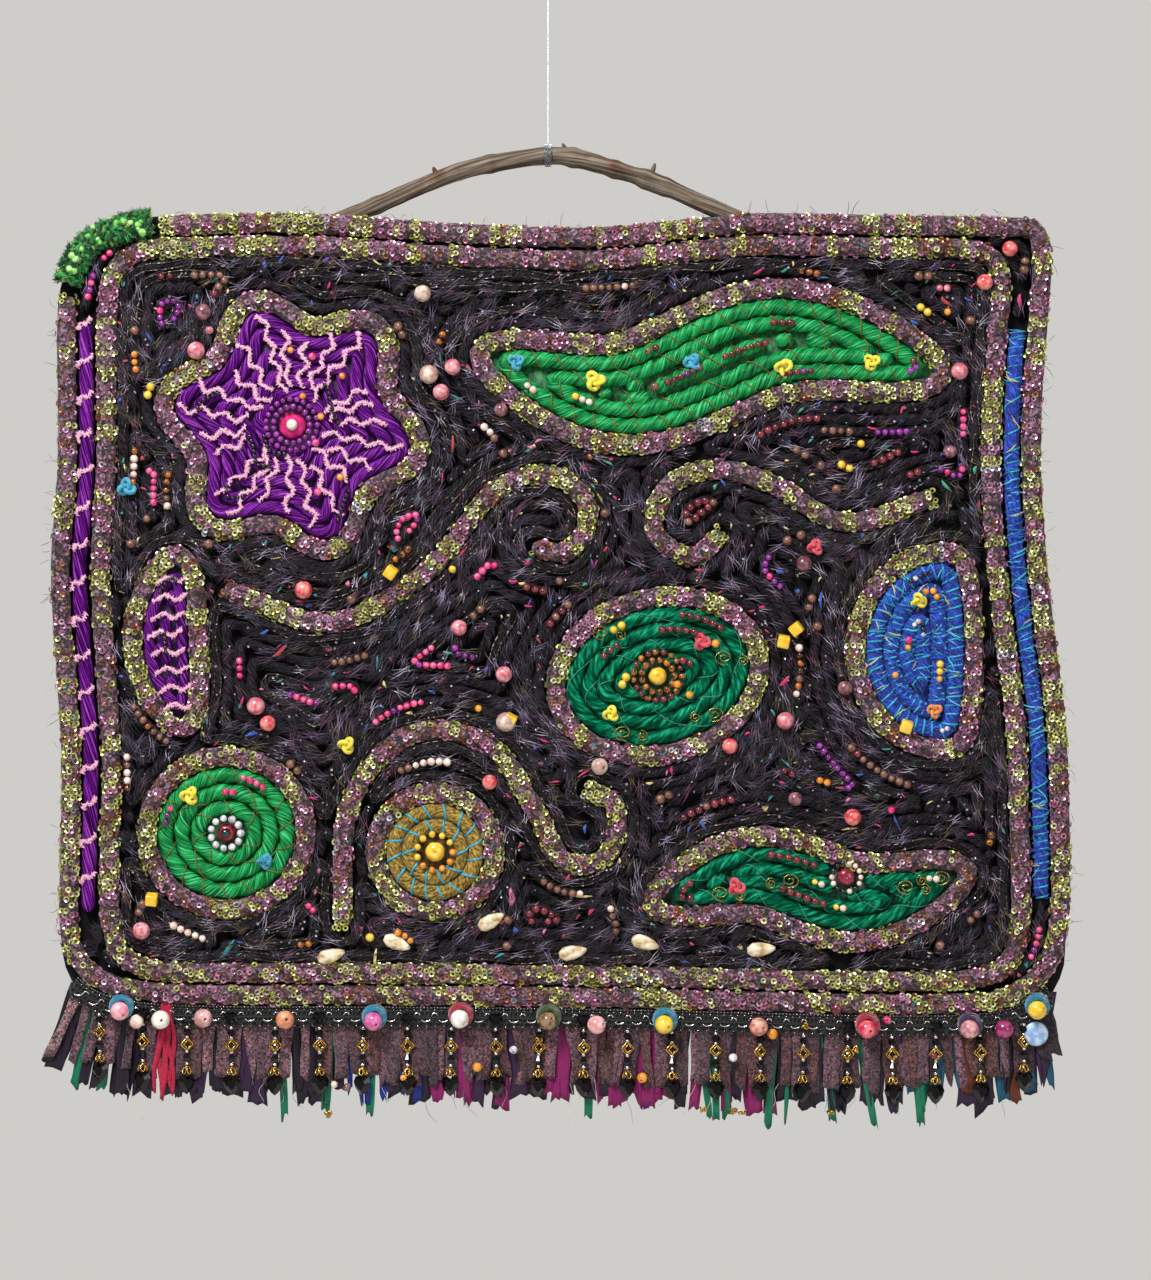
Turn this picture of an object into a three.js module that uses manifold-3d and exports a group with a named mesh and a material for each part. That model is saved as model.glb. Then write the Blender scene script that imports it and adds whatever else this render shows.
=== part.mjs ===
// Wall rug of sewn coils on a bent branch. Millimetres, +Z up. The rug faces -Y, its flat back at y = 0.
// The origin is the underside of the branch at its crown, where the finished hanging is carried.
// Cords and yarn lie in nested rows on a base cloth, and thicker sequin ropes outline each figure.
import * as THREE from "three";
import { mergeVertices } from "three/addons/utils/BufferGeometryUtils.js";
import Module from "manifold-3d";

const wasm = await Module();
wasm.setup();

// Driving dimensions
const SEAM = 0.3;
const CLOTH_THICKNESS = 2;
const HEM = { reach: 9, from: -500, fade: 28 };
const ROPE = { width: 13, topWidth: 6.6, depth: 9.7 };
const SIDE_CORD = { inset: 19.5, width: 10, topWidth: 5, depth: 9 };
const BORDER_INSET = 7;
const FILL_THICKNESS = 2.6;
const SEAT_DEPTH = 0.2;
const TRIM = { height: 13, thickness: 3, left: [-299, -519], right: [317, -524] };
const HEADER = { height: 8, thickness: 1.2 };
const DROPS = { count: 22, pitch: 28.07, first: -286, sides: 4, flatness: 0.42 };
const TRIM_BEAD_RADIUS = 6;
const BRANCH_SIDES = 8;
const CROWN_RADIUS = 5.9;
const LINE = { diameter: 0.6, sides: 8, steps: 4, top: 108, knotRadius: 1.5 };
const WRAPS = { width: 5, thickness: 0.7, sides: 12 };

// Depths are measured forward from the flat back of the rug.
const ON_CLOTH = CLOTH_THICKNESS + SEAM;
const FILL_FRONT = ON_CLOTH + FILL_THICKNESS;
const SEAT_FRONT = FILL_FRONT - SEAT_DEPTH;
const FRONT_HEADER = ON_CLOTH + HEADER.thickness + SEAM;
const TRIM_BACK = FRONT_HEADER + HEADER.thickness + SEAM;
const TRIM_FRONT = TRIM_BACK + TRIM.thickness;
const ROPE_CLEAR = ROPE.width / 2 + SEAM;

// Rows: the grid of the distance field and its smoothing passes, the form of a row in parts of its pitch
// with the depth of its root, then the least step and loop area kept and the turn that breaks a row.
const GRID = { x: -292, z: -532, columns: 150, rows: 124, cell: 4, passes: 10 };
const ROW = { first: 0.58, foot: 0.4, overlap: 0.3, root: 0.4 };
const LEAST = { step: 0.8, area: 0.2, turn: 2.2 };
const DARK_ROWS = { pitch: 10, rise: 4.4 };

// How far a thinned line may stray from its curve: ropes and edges, then rows.
const LINE_STRAY = 0.5;
const ROW_STRAY = 1.3;

// The edge of the rug, counter-clockwise from the front: x and z.
const EDGE = [
  [-280, -40], [-302, -55], [-312, -81], [-314, -113], [-313.5, -151], [-314, -202], [-318, -260],
  [-314, -330], [-311, -382], [-312, -446], [-312, -491], [-304, -514], [-286, -529], [-260, -535.5],
  [-211, -538], [-95, -538.5], [33, -540], [123, -542], [209, -544], [274, -543], [302, -536],
  [322, -519], [331, -498], [334, -464], [333.5, -420], [331, -356], [324.5, -305], [319, -254],
  [315.5, -202], [316, -151], [320.5, -90], [322, -56], [314, -38], [292, -34.5], [225, -33.5],
  [136, -32], [97, -35], [33, -41], [-31, -40], [-95, -36], [-159, -32], [-248, -34],
];

// Middle of the inner border rope, the same way round. It runs beside the outer rope at the top and bottom.
const INNER_BORDER = [
  [-262, -58], [-277, -72], [-281, -100], [-281.5, -151], [-282, -202], [-285.5, -260], [-281.5, -330],
  [-278.5, -382], [-279.5, -446], [-278.5, -486], [-270, -507], [-248, -515.5], [-211, -517], [-95, -517.5],
  [33, -519], [123, -521], [209, -522.5], [266, -521.5], [291, -513], [300.5, -492], [301.5, -464],
  [300.5, -420], [298, -356], [291.5, -305], [286, -254], [282.5, -202], [283.5, -151], [287, -105],
  [289, -80], [284, -62], [265, -55.5], [225, -55], [136, -53.5], [97, -56.5], [33, -62.5], [-31, -61.5],
  [-95, -57.5], [-159, -53.5], [-240, -55],
];

// Figures: name, pitch and rise of the rows, colour, outline.
const FIGURES = [
  ["flower", 9.5, 5, 0x5c1a86, rosette(-163, -168, 74, 6, 0.13, 0.2)],
  ["long_leaf", 11, 6.4, 0x157a45, leaf([[-44, -122], [48, -148], [150, -114], [252, -136]], 36)],
  ["roundel", 11, 6.4, 0x157a45, oval(-205, -428, 51, 49, 0)],
  ["medallion", 10, 6, 0x0b5b4a, oval(70, -328, 66, 50, 0.25)],
  ["low_leaf", 10, 6, 0x0b5b4a, leaf([[66, -474], [132, -455], [200, -472], [268, -452]], 27)],
  ["fan", 11, 6.4, 0x1c4fb4, fan(252, -312, 56, 20, 63)],
  ["daisy", 10, 6, 0x7d7430, oval(-72, -440, 38, 38, 0)],
  ["side_leaf", 8, 5, 0x5c1a86, leaf([[-236, -250], [-244, -305], [-232, -362]], 21)],
];

// Open sequin ropes that run between the figures and end in a curl.
const SCROLLS = [
  ["scroll_left", [
    [-206, -272], [-140, -294], [-78, -262], [-34, -210], [4, -200], [26, -222], [14, -248], [-10, -246],
  ]],
  ["scroll_right", [
    [246, -214], [190, -230], [144, -206], [106, -196], [76, -208], [68, -236], [92, -252], [111, -237],
  ]],
  ["scroll_low", [
    [-131, -488], [-127, -412], [-90, -366], [-40, -370], [-10, -410], [10, -446], [38, -442], [44, -412],
    [24, -400],
  ]],
];

// Button and beads sewn on the figures: name, x, z, radius, height, colour.
const DOMES = [
  ["flower_button", -163, -168, 9, 6, 0xb3206e],
  ["roundel_bead", -205, -428, 6, 8, 0xc8262b],
  ["medallion_bead", 70, -328, 6, 8, 0xeab81c],
  ["daisy_bead", -72, -440, 6.5, 8, 0xe8b21e],
  ["low_leaf_bead", 190, -456, 6, 7, 0x6e1a2f],
];

// A dome from its foot to its top, in parts of its radius and height.
const DOME_PROFILE = [[0, 0], [0.9, 0], [1, 0.35], [0.6, 0.86], [0, 1]];

// Yarn bundle that takes the outer rope's place round the upper left corner.
const TUFT = { from: [-248, -38], to: [-308, -84], inset: 5, width: 17, depth: 12, step: 7, swell: 0.1 };

// Couched side cords: name, top and bottom ends, colour.
const SIDE_CORDS = [
  ["side_cord_left", [-294, -100], [-293, -478], 0x5c1a86],
  ["side_cord_right", [300, -104], [314, -468], 0x1c4fb4],
];

// Fringes, each cut as strips from one header: name, depth, count, strip width and length, shift, colour.
const FRINGES = [
  ["fringe_back", ON_CLOTH, 44, 10.5, 56, 0.25, 0x3c1f45],
  ["fringe_front", FRONT_HEADER, 48, 9, 46, 0.5, 0x7d5a68],
];

// The strips fan out at the ends of the trim: sideways lean, x where it is that large, how fast it fades.
const FANS = [[-0.5, -310, 24], [0.12, 322, -20]];

// A bead drop from its tip up: radius and height.
const DROP_PROFILE = [
  [0, -46], [5.8, -36], [2.6, -27], [1.1, -16.5], [3.7, -12], [1.1, -8.5], [2.8, -5], [1.4, 0.5], [0, 1.5],
];

// Beads on the lower trim: x, distance below the middle of the trim, colour.
const TRIM_BEADS = [
  [-272, 0.5, 0xe58fa0], [-246, 3, 0xf0e6dc], [-219, 1, 0xe9b1b4], [-167, 1.5, 0xdd8a66],
  [-111, 2.5, 0xd9559c], [-56, 0.5, 0xefe9e4], [0, 1, 0x6d4a33], [31, 3, 0xe79aa0], [74, 2, 0xf0c419],
  [134, 2, 0xdc7f63], [203, 2, 0xd92a50], [268, 2.5, 0xd97f86], [290, 5, 0xb02a70], [311, 2, 0xf1c21b],
];

// The branch: x and z of its middle, and its radius there.
const BRANCH = [
  [-168, -51, 5.2], [-146, -41, 5.5], [-128, -33, 5.4], [-107.5, -25, 5.6], [-82, -14, 5.5], [-56, -4, 5.8],
  [-31, 1.7, 5.7], [0, 5.9, 5.9], [20.5, 3.8, 6.1], [46, -3.9, 5.6], [60, -8.2, 5.7], [69, -11.8, 6.4],
  [80, -16.2, 5.5], [97, -24, 5.6], [123, -35, 5.3], [161, -51, 4.9],
];

// Twig stubs left on the branch: x and z at the root, lean, length.
const TWIGS = [[12, 8.5, -0.5, 6], [66, -6.5, 0.35, 8], [-72, -5.5, -0.4, 4.5]];
const TWIG_RADII = [0.9, 1.9];

// Outlines of the figures, counter-clockwise from the front.
function rosette(x, z, radius, lobes, depth, turn) {
  return around(lobes * 12, (angle) => {
    const reach = radius * (1 + depth * Math.cos(lobes * (angle + turn)));
    return [x + reach * Math.cos(angle), z + reach * Math.sin(angle)];
  });
}

function oval(x, z, across, up, turn) {
  return around(60, (angle) => {
    const [u, v] = [across * Math.cos(angle), up * Math.sin(angle)];
    return [x + u * Math.cos(turn) - v * Math.sin(turn), z + u * Math.sin(turn) + v * Math.cos(turn)];
  });
}

function fan(x, z, leftReach, rightReach, halfHeight) {
  return around(60, (angle) => {
    const across = Math.cos(angle);
    const reach = across < 0 ? leftReach * across : rightReach * Math.sqrt(across);
    return [x + reach, z + halfHeight * Math.sin(angle)];
  });
}

function leaf(spine, halfWidth) {
  const middle = evenly(smooth(spine, false, 12), false, 4);
  const width = middle.map((_, i) => halfWidth * Math.sqrt(Math.sin((Math.PI * i) / (middle.length - 1))));
  const [left, right] = [offset(middle, false, width), offset(middle, false, width.map((w) => -w))];
  return [...right, ...left.slice(1, -1).reverse()];
}

function around(steps, place) {
  return Array.from({ length: steps }, (_, i) => place((i / steps) * 2 * Math.PI));
}

// Lines: lists of [x, z] that run on from point to point.
function smooth(points, closed, stepsPerSpan) {
  const knots = points.map(([x, z, radius = 0]) => new THREE.Vector3(x, radius, z));
  const curve = new THREE.CatmullRomCurve3(knots, closed, "catmullrom", 0.5);
  const spans = closed ? points.length : points.length - 1;
  const found = curve.getPoints(spans * stepsPerSpan).map((p) => [p.x, p.z, p.y]);
  return closed ? found.slice(0, -1) : found;
}

function evenly(points, closed, step) {
  const line = closed ? [...points, points[0]] : points;
  const along = [0];
  for (let i = 1; i < line.length; i++) along.push(along[i - 1] + distance(line[i - 1], line[i]));
  const count = Math.max(3, Math.round(along.at(-1) / step));
  const found = [];
  for (let k = 0, i = 1; k <= count; k++) {
    const target = (along.at(-1) * k) / count;
    while (i < line.length - 1 && along[i] < target) i++;
    found.push(between(line[i - 1], line[i], (target - along[i - 1]) / (along[i] - along[i - 1])));
  }
  return closed ? found.slice(0, -1) : found;
}

// Parallel line to the left of the way the points run, with mitred corners.
function offset(points, closed, reach) {
  const last = points.length - 1;
  return points.map((point, i) => {
    const before = points[i > 0 ? i - 1 : closed ? last : 0];
    const after = points[i < last ? i + 1 : closed ? 0 : last];
    const into = heading(before, point) ?? heading(point, after);
    const out = heading(point, after) ?? into;
    const middle = heading([0, 0], [into[0] + out[0], into[1] + out[1]]) ?? out;
    const mitre = 1 / Math.max(0.5, middle[0] * out[0] + middle[1] * out[1]);
    const far = (Array.isArray(reach) ? reach[i] : reach) * mitre;
    return [point[0] - middle[1] * far, point[1] + middle[0] * far];
  });
}

// Leaves out the points that lie nearer than the stray to the line through those that stay.
function thin(points, closed, stray) {
  if (closed) {
    const far = nearest(points, points[0], -1);
    const halves = [points.slice(0, far + 1), [...points.slice(far), points[0]]];
    return halves.flatMap((half) => thin(half, false, stray).slice(0, -1));
  }
  const away = points.map((p) => distanceToSegment(p, points[0], points.at(-1)));
  const worst = away.indexOf(Math.max(...away));
  if (away[worst] <= stray) return [points[0], points.at(-1)];
  const head = thin(points.slice(0, worst + 1), false, stray);
  return [...head.slice(0, -1), ...thin(points.slice(worst), false, stray)];
}

// The stretch of a closed line from the point nearest one place to the point nearest another.
function stretch(points, from, to) {
  const start = nearest(points, from, 1);
  const turned = [...points.slice(start), ...points.slice(0, start)];
  return turned.slice(0, nearest(turned, to, 1) + 1);
}

function lengthened(line, by) {
  const [first, last] = [heading(line[1], line[0]), heading(line.at(-2), line.at(-1))];
  const start = [line[0][0] + first[0] * by, line[0][1] + first[1] * by];
  return [start, ...line.slice(1, -1), [line.at(-1)[0] + last[0] * by, line.at(-1)[1] + last[1] * by]];
}

// Index of the nearest point to a place, or with a sign of -1 of the farthest.
function nearest(points, place, sign) {
  const away = points.map((p) => sign * distance(p, place));
  return away.indexOf(Math.min(...away));
}

function between(a, b, t) {
  return [a[0] + t * (b[0] - a[0]), a[1] + t * (b[1] - a[1])];
}

function distance(a, b) {
  return Math.hypot(a[0] - b[0], a[1] - b[1]);
}

function heading(from, to) {
  const length = distance(from, to);
  return length > 1e-9 ? [(to[0] - from[0]) / length, (to[1] - from[1]) / length] : null;
}

function distanceToSegment(spot, a, b) {
  const [u, v] = [b[0] - a[0], b[1] - a[1]];
  const square = u * u + v * v;
  const t = square ? Math.min(1, Math.max(0, ((spot[0] - a[0]) * u + (spot[1] - a[1]) * v) / square)) : 0;
  return Math.hypot(spot[0] - a[0] - t * u, spot[1] - a[1] - t * v);
}

function inside([x, z], outline) {
  let within = false;
  outline.forEach(([x0, z0], i) => {
    const [x1, z1] = outline[(i + 1) % outline.length];
    if (z0 > z !== z1 > z && x < ((x1 - x0) * (z - z0)) / (z1 - z0) + x0) within = !within;
  });
  return within;
}

// Solids
function welded(geometry) {
  const bare = geometry.clone();
  bare.deleteAttribute("normal");
  bare.deleteAttribute("uv");
  return mergeVertices(bare, 1e-4);
}

function facingOut(geometry) {
  const body = welded(geometry);
  const { index, attributes } = body;
  const corner = (i) => new THREE.Vector3().fromBufferAttribute(attributes.position, index.getX(i));
  let volume = 0;
  for (let i = 0; i < index.count; i += 3) volume += corner(i).dot(corner(i + 1).cross(corner(i + 2)));
  for (let i = 0; volume < 0 && i < index.count; i += 3) {
    const second = index.getX(i + 1);
    index.setX(i + 1, index.getX(i + 2));
    index.setX(i + 2, second);
  }
  return body;
}

function solidOf(geometry) {
  const body = facingOut(geometry);
  const vertProperties = new Float32Array(body.attributes.position.array);
  const triVerts = new Uint32Array(body.index.array);
  return new wasm.Manifold(new wasm.Mesh({ numProp: 3, vertProperties, triVerts }));
}

function geometryOf(solid) {
  const mesh = solid.getMesh();
  const geometry = new THREE.BufferGeometry();
  geometry.setAttribute("position", new THREE.BufferAttribute(mesh.vertProperties, 3));
  return geometry.setIndex(new THREE.BufferAttribute(mesh.triVerts, 1));
}

function joined(geometries) {
  return geometries.map(solidOf).reduce((whole, solid) => whole.add(solid));
}

// A flat piece between two depths, cut to an outline, with holes.
function plate(outline, holes, back, front) {
  const corners = (line) => line.map(([x, z]) => new THREE.Vector2(x, z));
  const shape = new THREE.Shape(corners(outline));
  shape.holes = holes.map((hole) => new THREE.Path(corners(hole)));
  const geometry = new THREE.ExtrudeGeometry(shape, { depth: front - back, bevelEnabled: false });
  return geometry.rotateX(Math.PI / 2).translate(0, -back, 0);
}

// A cord along a line. Its section, a list of [across, depth], is given for each point.
// A ring or a rod with a step for each point and a side for each corner is laid on those sections.
function cord(points, closed, sectionAt) {
  const sections = points.map((_, i) => sectionAt(i));
  const [sides, steps] = [sections[0].length, points.length];
  const runs = sections[0].map((_, side) => offset(points, closed, sections.map((s) => -s[side][0])));
  const place = (step, side) => [runs[side][step][0], -sections[step][side][1], runs[side][step][1]];
  const middle = (step) => {
    const ring = sections[step].map((_, side) => place(step, side));
    return [0, 1, 2].map((c) => ring.reduce((sum, p) => sum + p[c], 0) / sides);
  };
  const geometry = closed
    ? new THREE.TorusGeometry(2, 1, sides, steps)
    : new THREE.CylinderGeometry(1, 1, steps - 1, sides, steps - 1);
  const { position } = geometry.attributes;
  const share = (angle, parts) => (Math.round((angle / (2 * Math.PI)) * parts) + parts) % parts;
  for (let i = 0; i < position.count; i++) {
    const [x, y, z] = [position.getX(i), position.getY(i), position.getZ(i)];
    const side = share(closed ? Math.atan2(z, Math.hypot(x, y) - 2) : Math.atan2(x, z), sides);
    const step = closed ? share(Math.atan2(y, x), steps) : Math.round(y + (steps - 1) / 2);
    const atEnd = !closed && Math.hypot(x, z) < 0.5;
    position.setXYZ(i, ...(atEnd ? middle(step) : place(step, side)));
  }
  return facingOut(geometry);
}

function ropeSection({ width, topWidth, depth }) {
  const [foot, top, front] = [width / 2, topWidth / 2, ON_CLOTH + depth];
  return () => [[-foot, ON_CLOTH], [-top, front], [top, front], [foot, ON_CLOTH]];
}

// Distance from each grid point of a field to the nearest rope, a little smoothed, and nothing outside it.
function distanceField(lines, belongs) {
  const segments = lines.flatMap(({ points, closed }) => {
    const ends = closed ? [...points, points[0]] : points;
    return ends.slice(1).map((end, i) => [ends[i], end]);
  });
  let field = Array.from({ length: GRID.rows }, (_, j) => Array.from({ length: GRID.columns }, (_, i) => {
    const spot = [GRID.x + i * GRID.cell, GRID.z + j * GRID.cell];
    if (!belongs(spot)) return 0;
    return segments.reduce((least, [a, b]) => Math.min(least, distanceToSegment(spot, a, b)), Infinity);
  }));
  for (let pass = 0; pass < GRID.passes; pass++) {
    field = field.map((row, j) => row.map((value, i) => {
      if (!value || !i || !j || i === GRID.columns - 1 || j === GRID.rows - 1) return value;
      return (4 * value + row[i - 1] + row[i + 1] + field[j - 1][i] + field[j + 1][i]) / 8;
    }));
  }
  return field;
}

// Closed lines on which a field has one level, found cell by cell and linked across shared cell edges.
function contours(field, level) {
  const places = new Map();
  const links = new Map();
  const crossing = (a, b) => {
    const [low, high] = [field[a[1]][a[0]], field[b[1]][b[0]]];
    if (low > level === high > level) return null;
    const key = [a, b].map(([i, j]) => j * GRID.columns + i).sort((p, q) => p - q).join("-");
    const [i, j] = between(a, b, (level - low) / (high - low));
    places.set(key, [GRID.x + i * GRID.cell, GRID.z + j * GRID.cell]);
    return key;
  };
  const link = (from, to) => links.set(from, [...(links.get(from) ?? []), to]);
  for (let j = 0; j < GRID.rows - 1; j++) {
    for (let i = 0; i < GRID.columns - 1; i++) {
      const corners = [[i, j], [i + 1, j], [i + 1, j + 1], [i, j + 1]];
      const found = corners.map((corner, k) => crossing(corner, corners[(k + 1) % 4])).filter(Boolean);
      for (let k = 0; k < found.length; k += 2) {
        link(found[k], found[k + 1]);
        link(found[k + 1], found[k]);
      }
    }
  }
  const seen = new Set();
  return [...links.keys()].flatMap((start) => {
    const loop = [];
    for (let key = start; key && !seen.has(key); key = links.get(key).find((next) => !seen.has(next))) {
      seen.add(key);
      loop.push(places.get(key));
    }
    return loop.length ? [loop] : [];
  });
}

// The rows of a field, each a low roof. A row that turns back on itself is broken there.
function rowRoofs(field, pitch, front) {
  const found = [];
  const [half, root] = [pitch * ROW.foot, FILL_FRONT - ROW.root];
  const section = () => [[-half, root], [0, front], [half, root]];
  for (let level = ROPE_CLEAR + pitch * ROW.first; ; level += pitch) {
    const loops = contours(field, level);
    if (!loops.length) return found;
    for (const loop of loops) {
      const line = spaced(thin(loop, true, ROW_STRAY), pitch * LEAST.step);
      if (line.length < 4 || areaOf(line) < LEAST.area * pitch * lengthOf(line)) continue;
      const breaks = line.map((_, i) => i).filter((i) => turnAt(line, i) > LEAST.turn);
      if (!breaks.length) found.push(cord(line, true, section));
      breaks.forEach((from, k) => {
        const to = breaks[k + 1] ?? breaks[0] + line.length;
        const run = Array.from({ length: to - from + 1 }, (_, i) => line[(from + i) % line.length]);
        found.push(cord(lengthened(run, pitch * ROW.overlap), false, section));
      });
    }
  }
}

function spaced(points, least) {
  const kept = points.filter((p, i) => i % 2 || i === 0 || distance(p, points[i - 1]) > least);
  return kept.filter((p, i) => distance(p, kept[(i + 1) % kept.length]) > least * 0.6);
}

function lengthOf(points) {
  return points.reduce((sum, p, i) => sum + distance(p, points[(i + 1) % points.length]), 0);
}

function areaOf(points) {
  const twice = points.reduce((sum, [x, z], i) => {
    const next = points[(i + 1) % points.length];
    return sum + x * next[1] - next[0] * z;
  }, 0);
  return Math.abs(twice) / 2;
}

function turnAt(points, i) {
  const [a, b, c] = [-1, 0, 1].map((step) => points[(i + step + points.length) % points.length]);
  const [into, out] = [heading(a, b), heading(b, c)];
  return Math.acos(Math.min(1, Math.max(-1, into[0] * out[0] + into[1] * out[1])));
}

// A sheet on the base cloth with its nested rows standing on it.
function rows(outline, holes, field, { pitch, rise }) {
  const front = FILL_FRONT + rise;
  const sheet = solidOf(plate(outline, holes, ON_CLOTH, FILL_FRONT));
  const within = solidOf(plate(outline, holes, ON_CLOTH, front + 1));
  return sheet.add(joined(rowRoofs(field, pitch, front))).intersect(within);
}

const model = new THREE.Group();

function add(name, geometry, color, roughness = 0.9) {
  const mesh = new THREE.Mesh(geometry, new THREE.MeshStandardMaterial({ color, roughness, metalness: 0 }));
  mesh.name = name;
  model.add(mesh);
}

// Lines that several pieces share
const edgeCurve = smooth(EDGE, true, 6);
const edge = thin(edgeCurve, true, LINE_STRAY);
const innerBorder = thin(smooth(INNER_BORDER, true, 6), true, LINE_STRAY);
const figures = FIGURES.map(([name, pitch, rise, colour, outline]) => {
  return { name, pitch, rise, colour, line: thin(evenly(outline, true, 4), true, LINE_STRAY) };
});
const scrolls = SCROLLS.map(([name, points]) => {
  return { name, line: thin(evenly(smooth(points, false, 10), false, 4), false, LINE_STRAY) };
});

// Base cloth: one sheet, a hem longer along the bottom, where the fringe is sewn on.
const hemReach = ([, z]) => -HEM.reach * Math.min(1, Math.max(0, (HEM.from - z) / HEM.fade));
add("base_cloth", plate(offset(edge, true, edge.map(hemReach)), [], 0, CLOTH_THICKNESS), 0x17141a);

// Dark field of nested yarn rows round every figure and scroll.
function scrollHole({ line }) {
  const longer = lengthened(line, SEAM);
  return [...offset(longer, false, ROPE_CLEAR), ...offset(longer, false, -ROPE_CLEAR).reverse()];
}

const figureHoles = figures.map(({ line }) => offset(line, true, -ROPE_CLEAR));
const darkLines = [
  { points: innerBorder, closed: true },
  ...figures.map(({ line }) => ({ points: line, closed: true })),
  ...scrolls.map(({ line }) => ({ points: line, closed: false })),
];
const darkField = distanceField(darkLines, (spot) => {
  return inside(spot, innerBorder) && !figures.some(({ line }) => inside(spot, line));
});
const darkHoles = [...figureHoles, ...scrolls.map(scrollHole)];
const darkRows = rows(offset(innerBorder, true, ROPE_CLEAR), darkHoles, darkField, DARK_ROWS);
add("ground_rows", geometryOf(darkRows), 0x1d1a20);

// Sequin ropes: two round the border, one along each scroll and, below, one round each figure.
const rope = ropeSection(ROPE);
const ropeColour = 0x8d7f55;
const outerRun = stretch(offset(edgeCurve, true, BORDER_INSET), TUFT.to, TUFT.from);
add("border_rope_outer", cord(thin(outerRun, false, LINE_STRAY), false, rope), ropeColour, 0.7);
add("border_rope_inner", cord(innerBorder, true, rope), ropeColour, 0.7);
for (const { name, line } of scrolls) add(name, cord(line, false, rope), ropeColour, 0.7);

// Figures: a sequin rope round nested rows of cord, with a button or bead let into the middle of some.
for (const { name, pitch, rise, colour, line } of figures) {
  add(name + "_outline", cord(line, true, rope), ropeColour, 0.7);
  const field = distanceField([{ points: line, closed: true }], (spot) => inside(spot, line));
  let fill = rows(offset(line, true, ROPE_CLEAR), [], field, { pitch, rise });
  for (const [, x, z, radius, height] of DOMES.filter(([, x, z]) => inside([x, z], line))) {
    const seat = new THREE.CylinderGeometry(radius + 2 * SEAM, radius + 2 * SEAM, 2 * height, 12);
    fill = fill.subtract(solidOf(seat.translate(x, -SEAT_FRONT - height, z)));
  }
  add(name + "_rows", geometryOf(fill), colour, 0.6);
}
for (const [name, x, z, radius, height, colour] of DOMES) {
  const profile = DOME_PROFILE.map(([out, up]) => new THREE.Vector2(out * radius, -up * height));
  const dome = new THREE.LatheGeometry(profile, 10);
  add(name, facingOut(dome.translate(x, -SEAT_FRONT - SEAM, z)), colour, 0.3);
}

// Yarn bundle round the upper left corner, lumpy along its length.
const tuftLine = evenly(stretch(offset(edgeCurve, true, TUFT.inset), TUFT.from, TUFT.to), false, TUFT.step);
const tuftSection = (i) => {
  const swell = 1 + TUFT.swell * Math.sin(i * 2.1);
  const [half, front] = [(TUFT.width / 2) * swell, ON_CLOTH + TUFT.depth * swell];
  const waist = ON_CLOTH + TUFT.depth * 0.36;
  return [
    [-half * 0.7, ON_CLOTH], [-half, waist], [-half * 0.6, front], [half * 0.5, front], [half, waist],
    [half * 0.7, ON_CLOTH],
  ];
};
add("corner_tuft", cord(tuftLine.slice(1, -1), false, tuftSection), 0x1c7a37);

// Couched side cords between the border ropes.
const sideCurve = offset(edgeCurve, true, SIDE_CORD.inset);
for (const [name, top, bottom, colour] of SIDE_CORDS) {
  const run = top[0] < 0 ? stretch(sideCurve, top, bottom) : stretch(sideCurve, bottom, top);
  add(name, cord(thin(run, false, LINE_STRAY), false, ropeSection(SIDE_CORD)), colour, 0.4);
}

// Lower edge: two fringes, then a braid trim with its bead drops, then the large beads.
const lowerEdge = thin(stretch(edgeCurve, TRIM.left, TRIM.right), false, LINE_STRAY);

function fringe(back, count, width, length, shift) {
  const foot = evenly(offset(lowerEdge, false, -HEADER.height), false, 2);
  const strips = Array.from({ length: count }, (_, k) => {
    const [x, z] = foot[Math.round(((k + shift) / count) * (foot.length - 1))];
    const fanned = FANS.reduce((sum, [lean, from, fade]) => sum + lean * Math.exp((from - x) / fade), 0);
    const lean = fanned + 0.05 * Math.sin(k * 2.4);
    const reach = length * (0.93 + 0.07 * Math.sin(k * 1.7));
    const half = (width / 2) * (0.86 + 0.14 * Math.cos(k * 2.9));
    const [tipX, tipZ] = [x + lean * reach, z - reach];
    return [[x - half, z], [tipX - half * 0.9, tipZ + 1.5], [tipX + half * 0.9, tipZ], [x + half, z]];
  });
  const top = offset(lowerEdge, false, -SEAM).reverse();
  return plate([...strips.flat(), ...top], [], back, back + HEADER.thickness);
}

for (const [name, back, count, width, length, shift, colour] of FRINGES) {
  add(name, fringe(back, count, width, length, shift), colour);
}

const trimLine = offset(lowerEdge, false, -TRIM.height / 2);
const braid = cord(trimLine, false, () => {
  const half = TRIM.height / 2;
  return [[-half, TRIM_BACK], [-half, TRIM_FRONT], [half, TRIM_FRONT], [half, TRIM_BACK]];
});
const trimHeight = (x) => {
  const i = trimLine.findIndex((p) => p[0] > x);
  const [a, b] = [trimLine[i - 1], trimLine[i]];
  return between(a, b, (x - a[0]) / (b[0] - a[0]))[1];
};
const drops = Array.from({ length: DROPS.count }, (_, k) => {
  const x = DROPS.first + k * DROPS.pitch;
  const profile = DROP_PROFILE.map(([radius, height]) => new THREE.Vector2(radius, height));
  const drop = new THREE.LatheGeometry(profile, DROPS.sides).rotateX(Math.PI / 2);
  return drop.scale(1, DROPS.flatness, 1).translate(x, -TRIM_FRONT, trimHeight(x) - TRIM.height / 2);
});
add("bead_trim", geometryOf(joined([braid, ...drops])), 0x15131a, 0.5);

TRIM_BEADS.forEach(([x, below, colour], k) => {
  const bead = new THREE.SphereGeometry(TRIM_BEAD_RADIUS, 8, 4);
  bead.translate(x, -TRIM_FRONT - SEAM - TRIM_BEAD_RADIUS, trimHeight(x) - below);
  add("trim_bead_" + (k + 1), bead, colour, 0.3);
});

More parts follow.
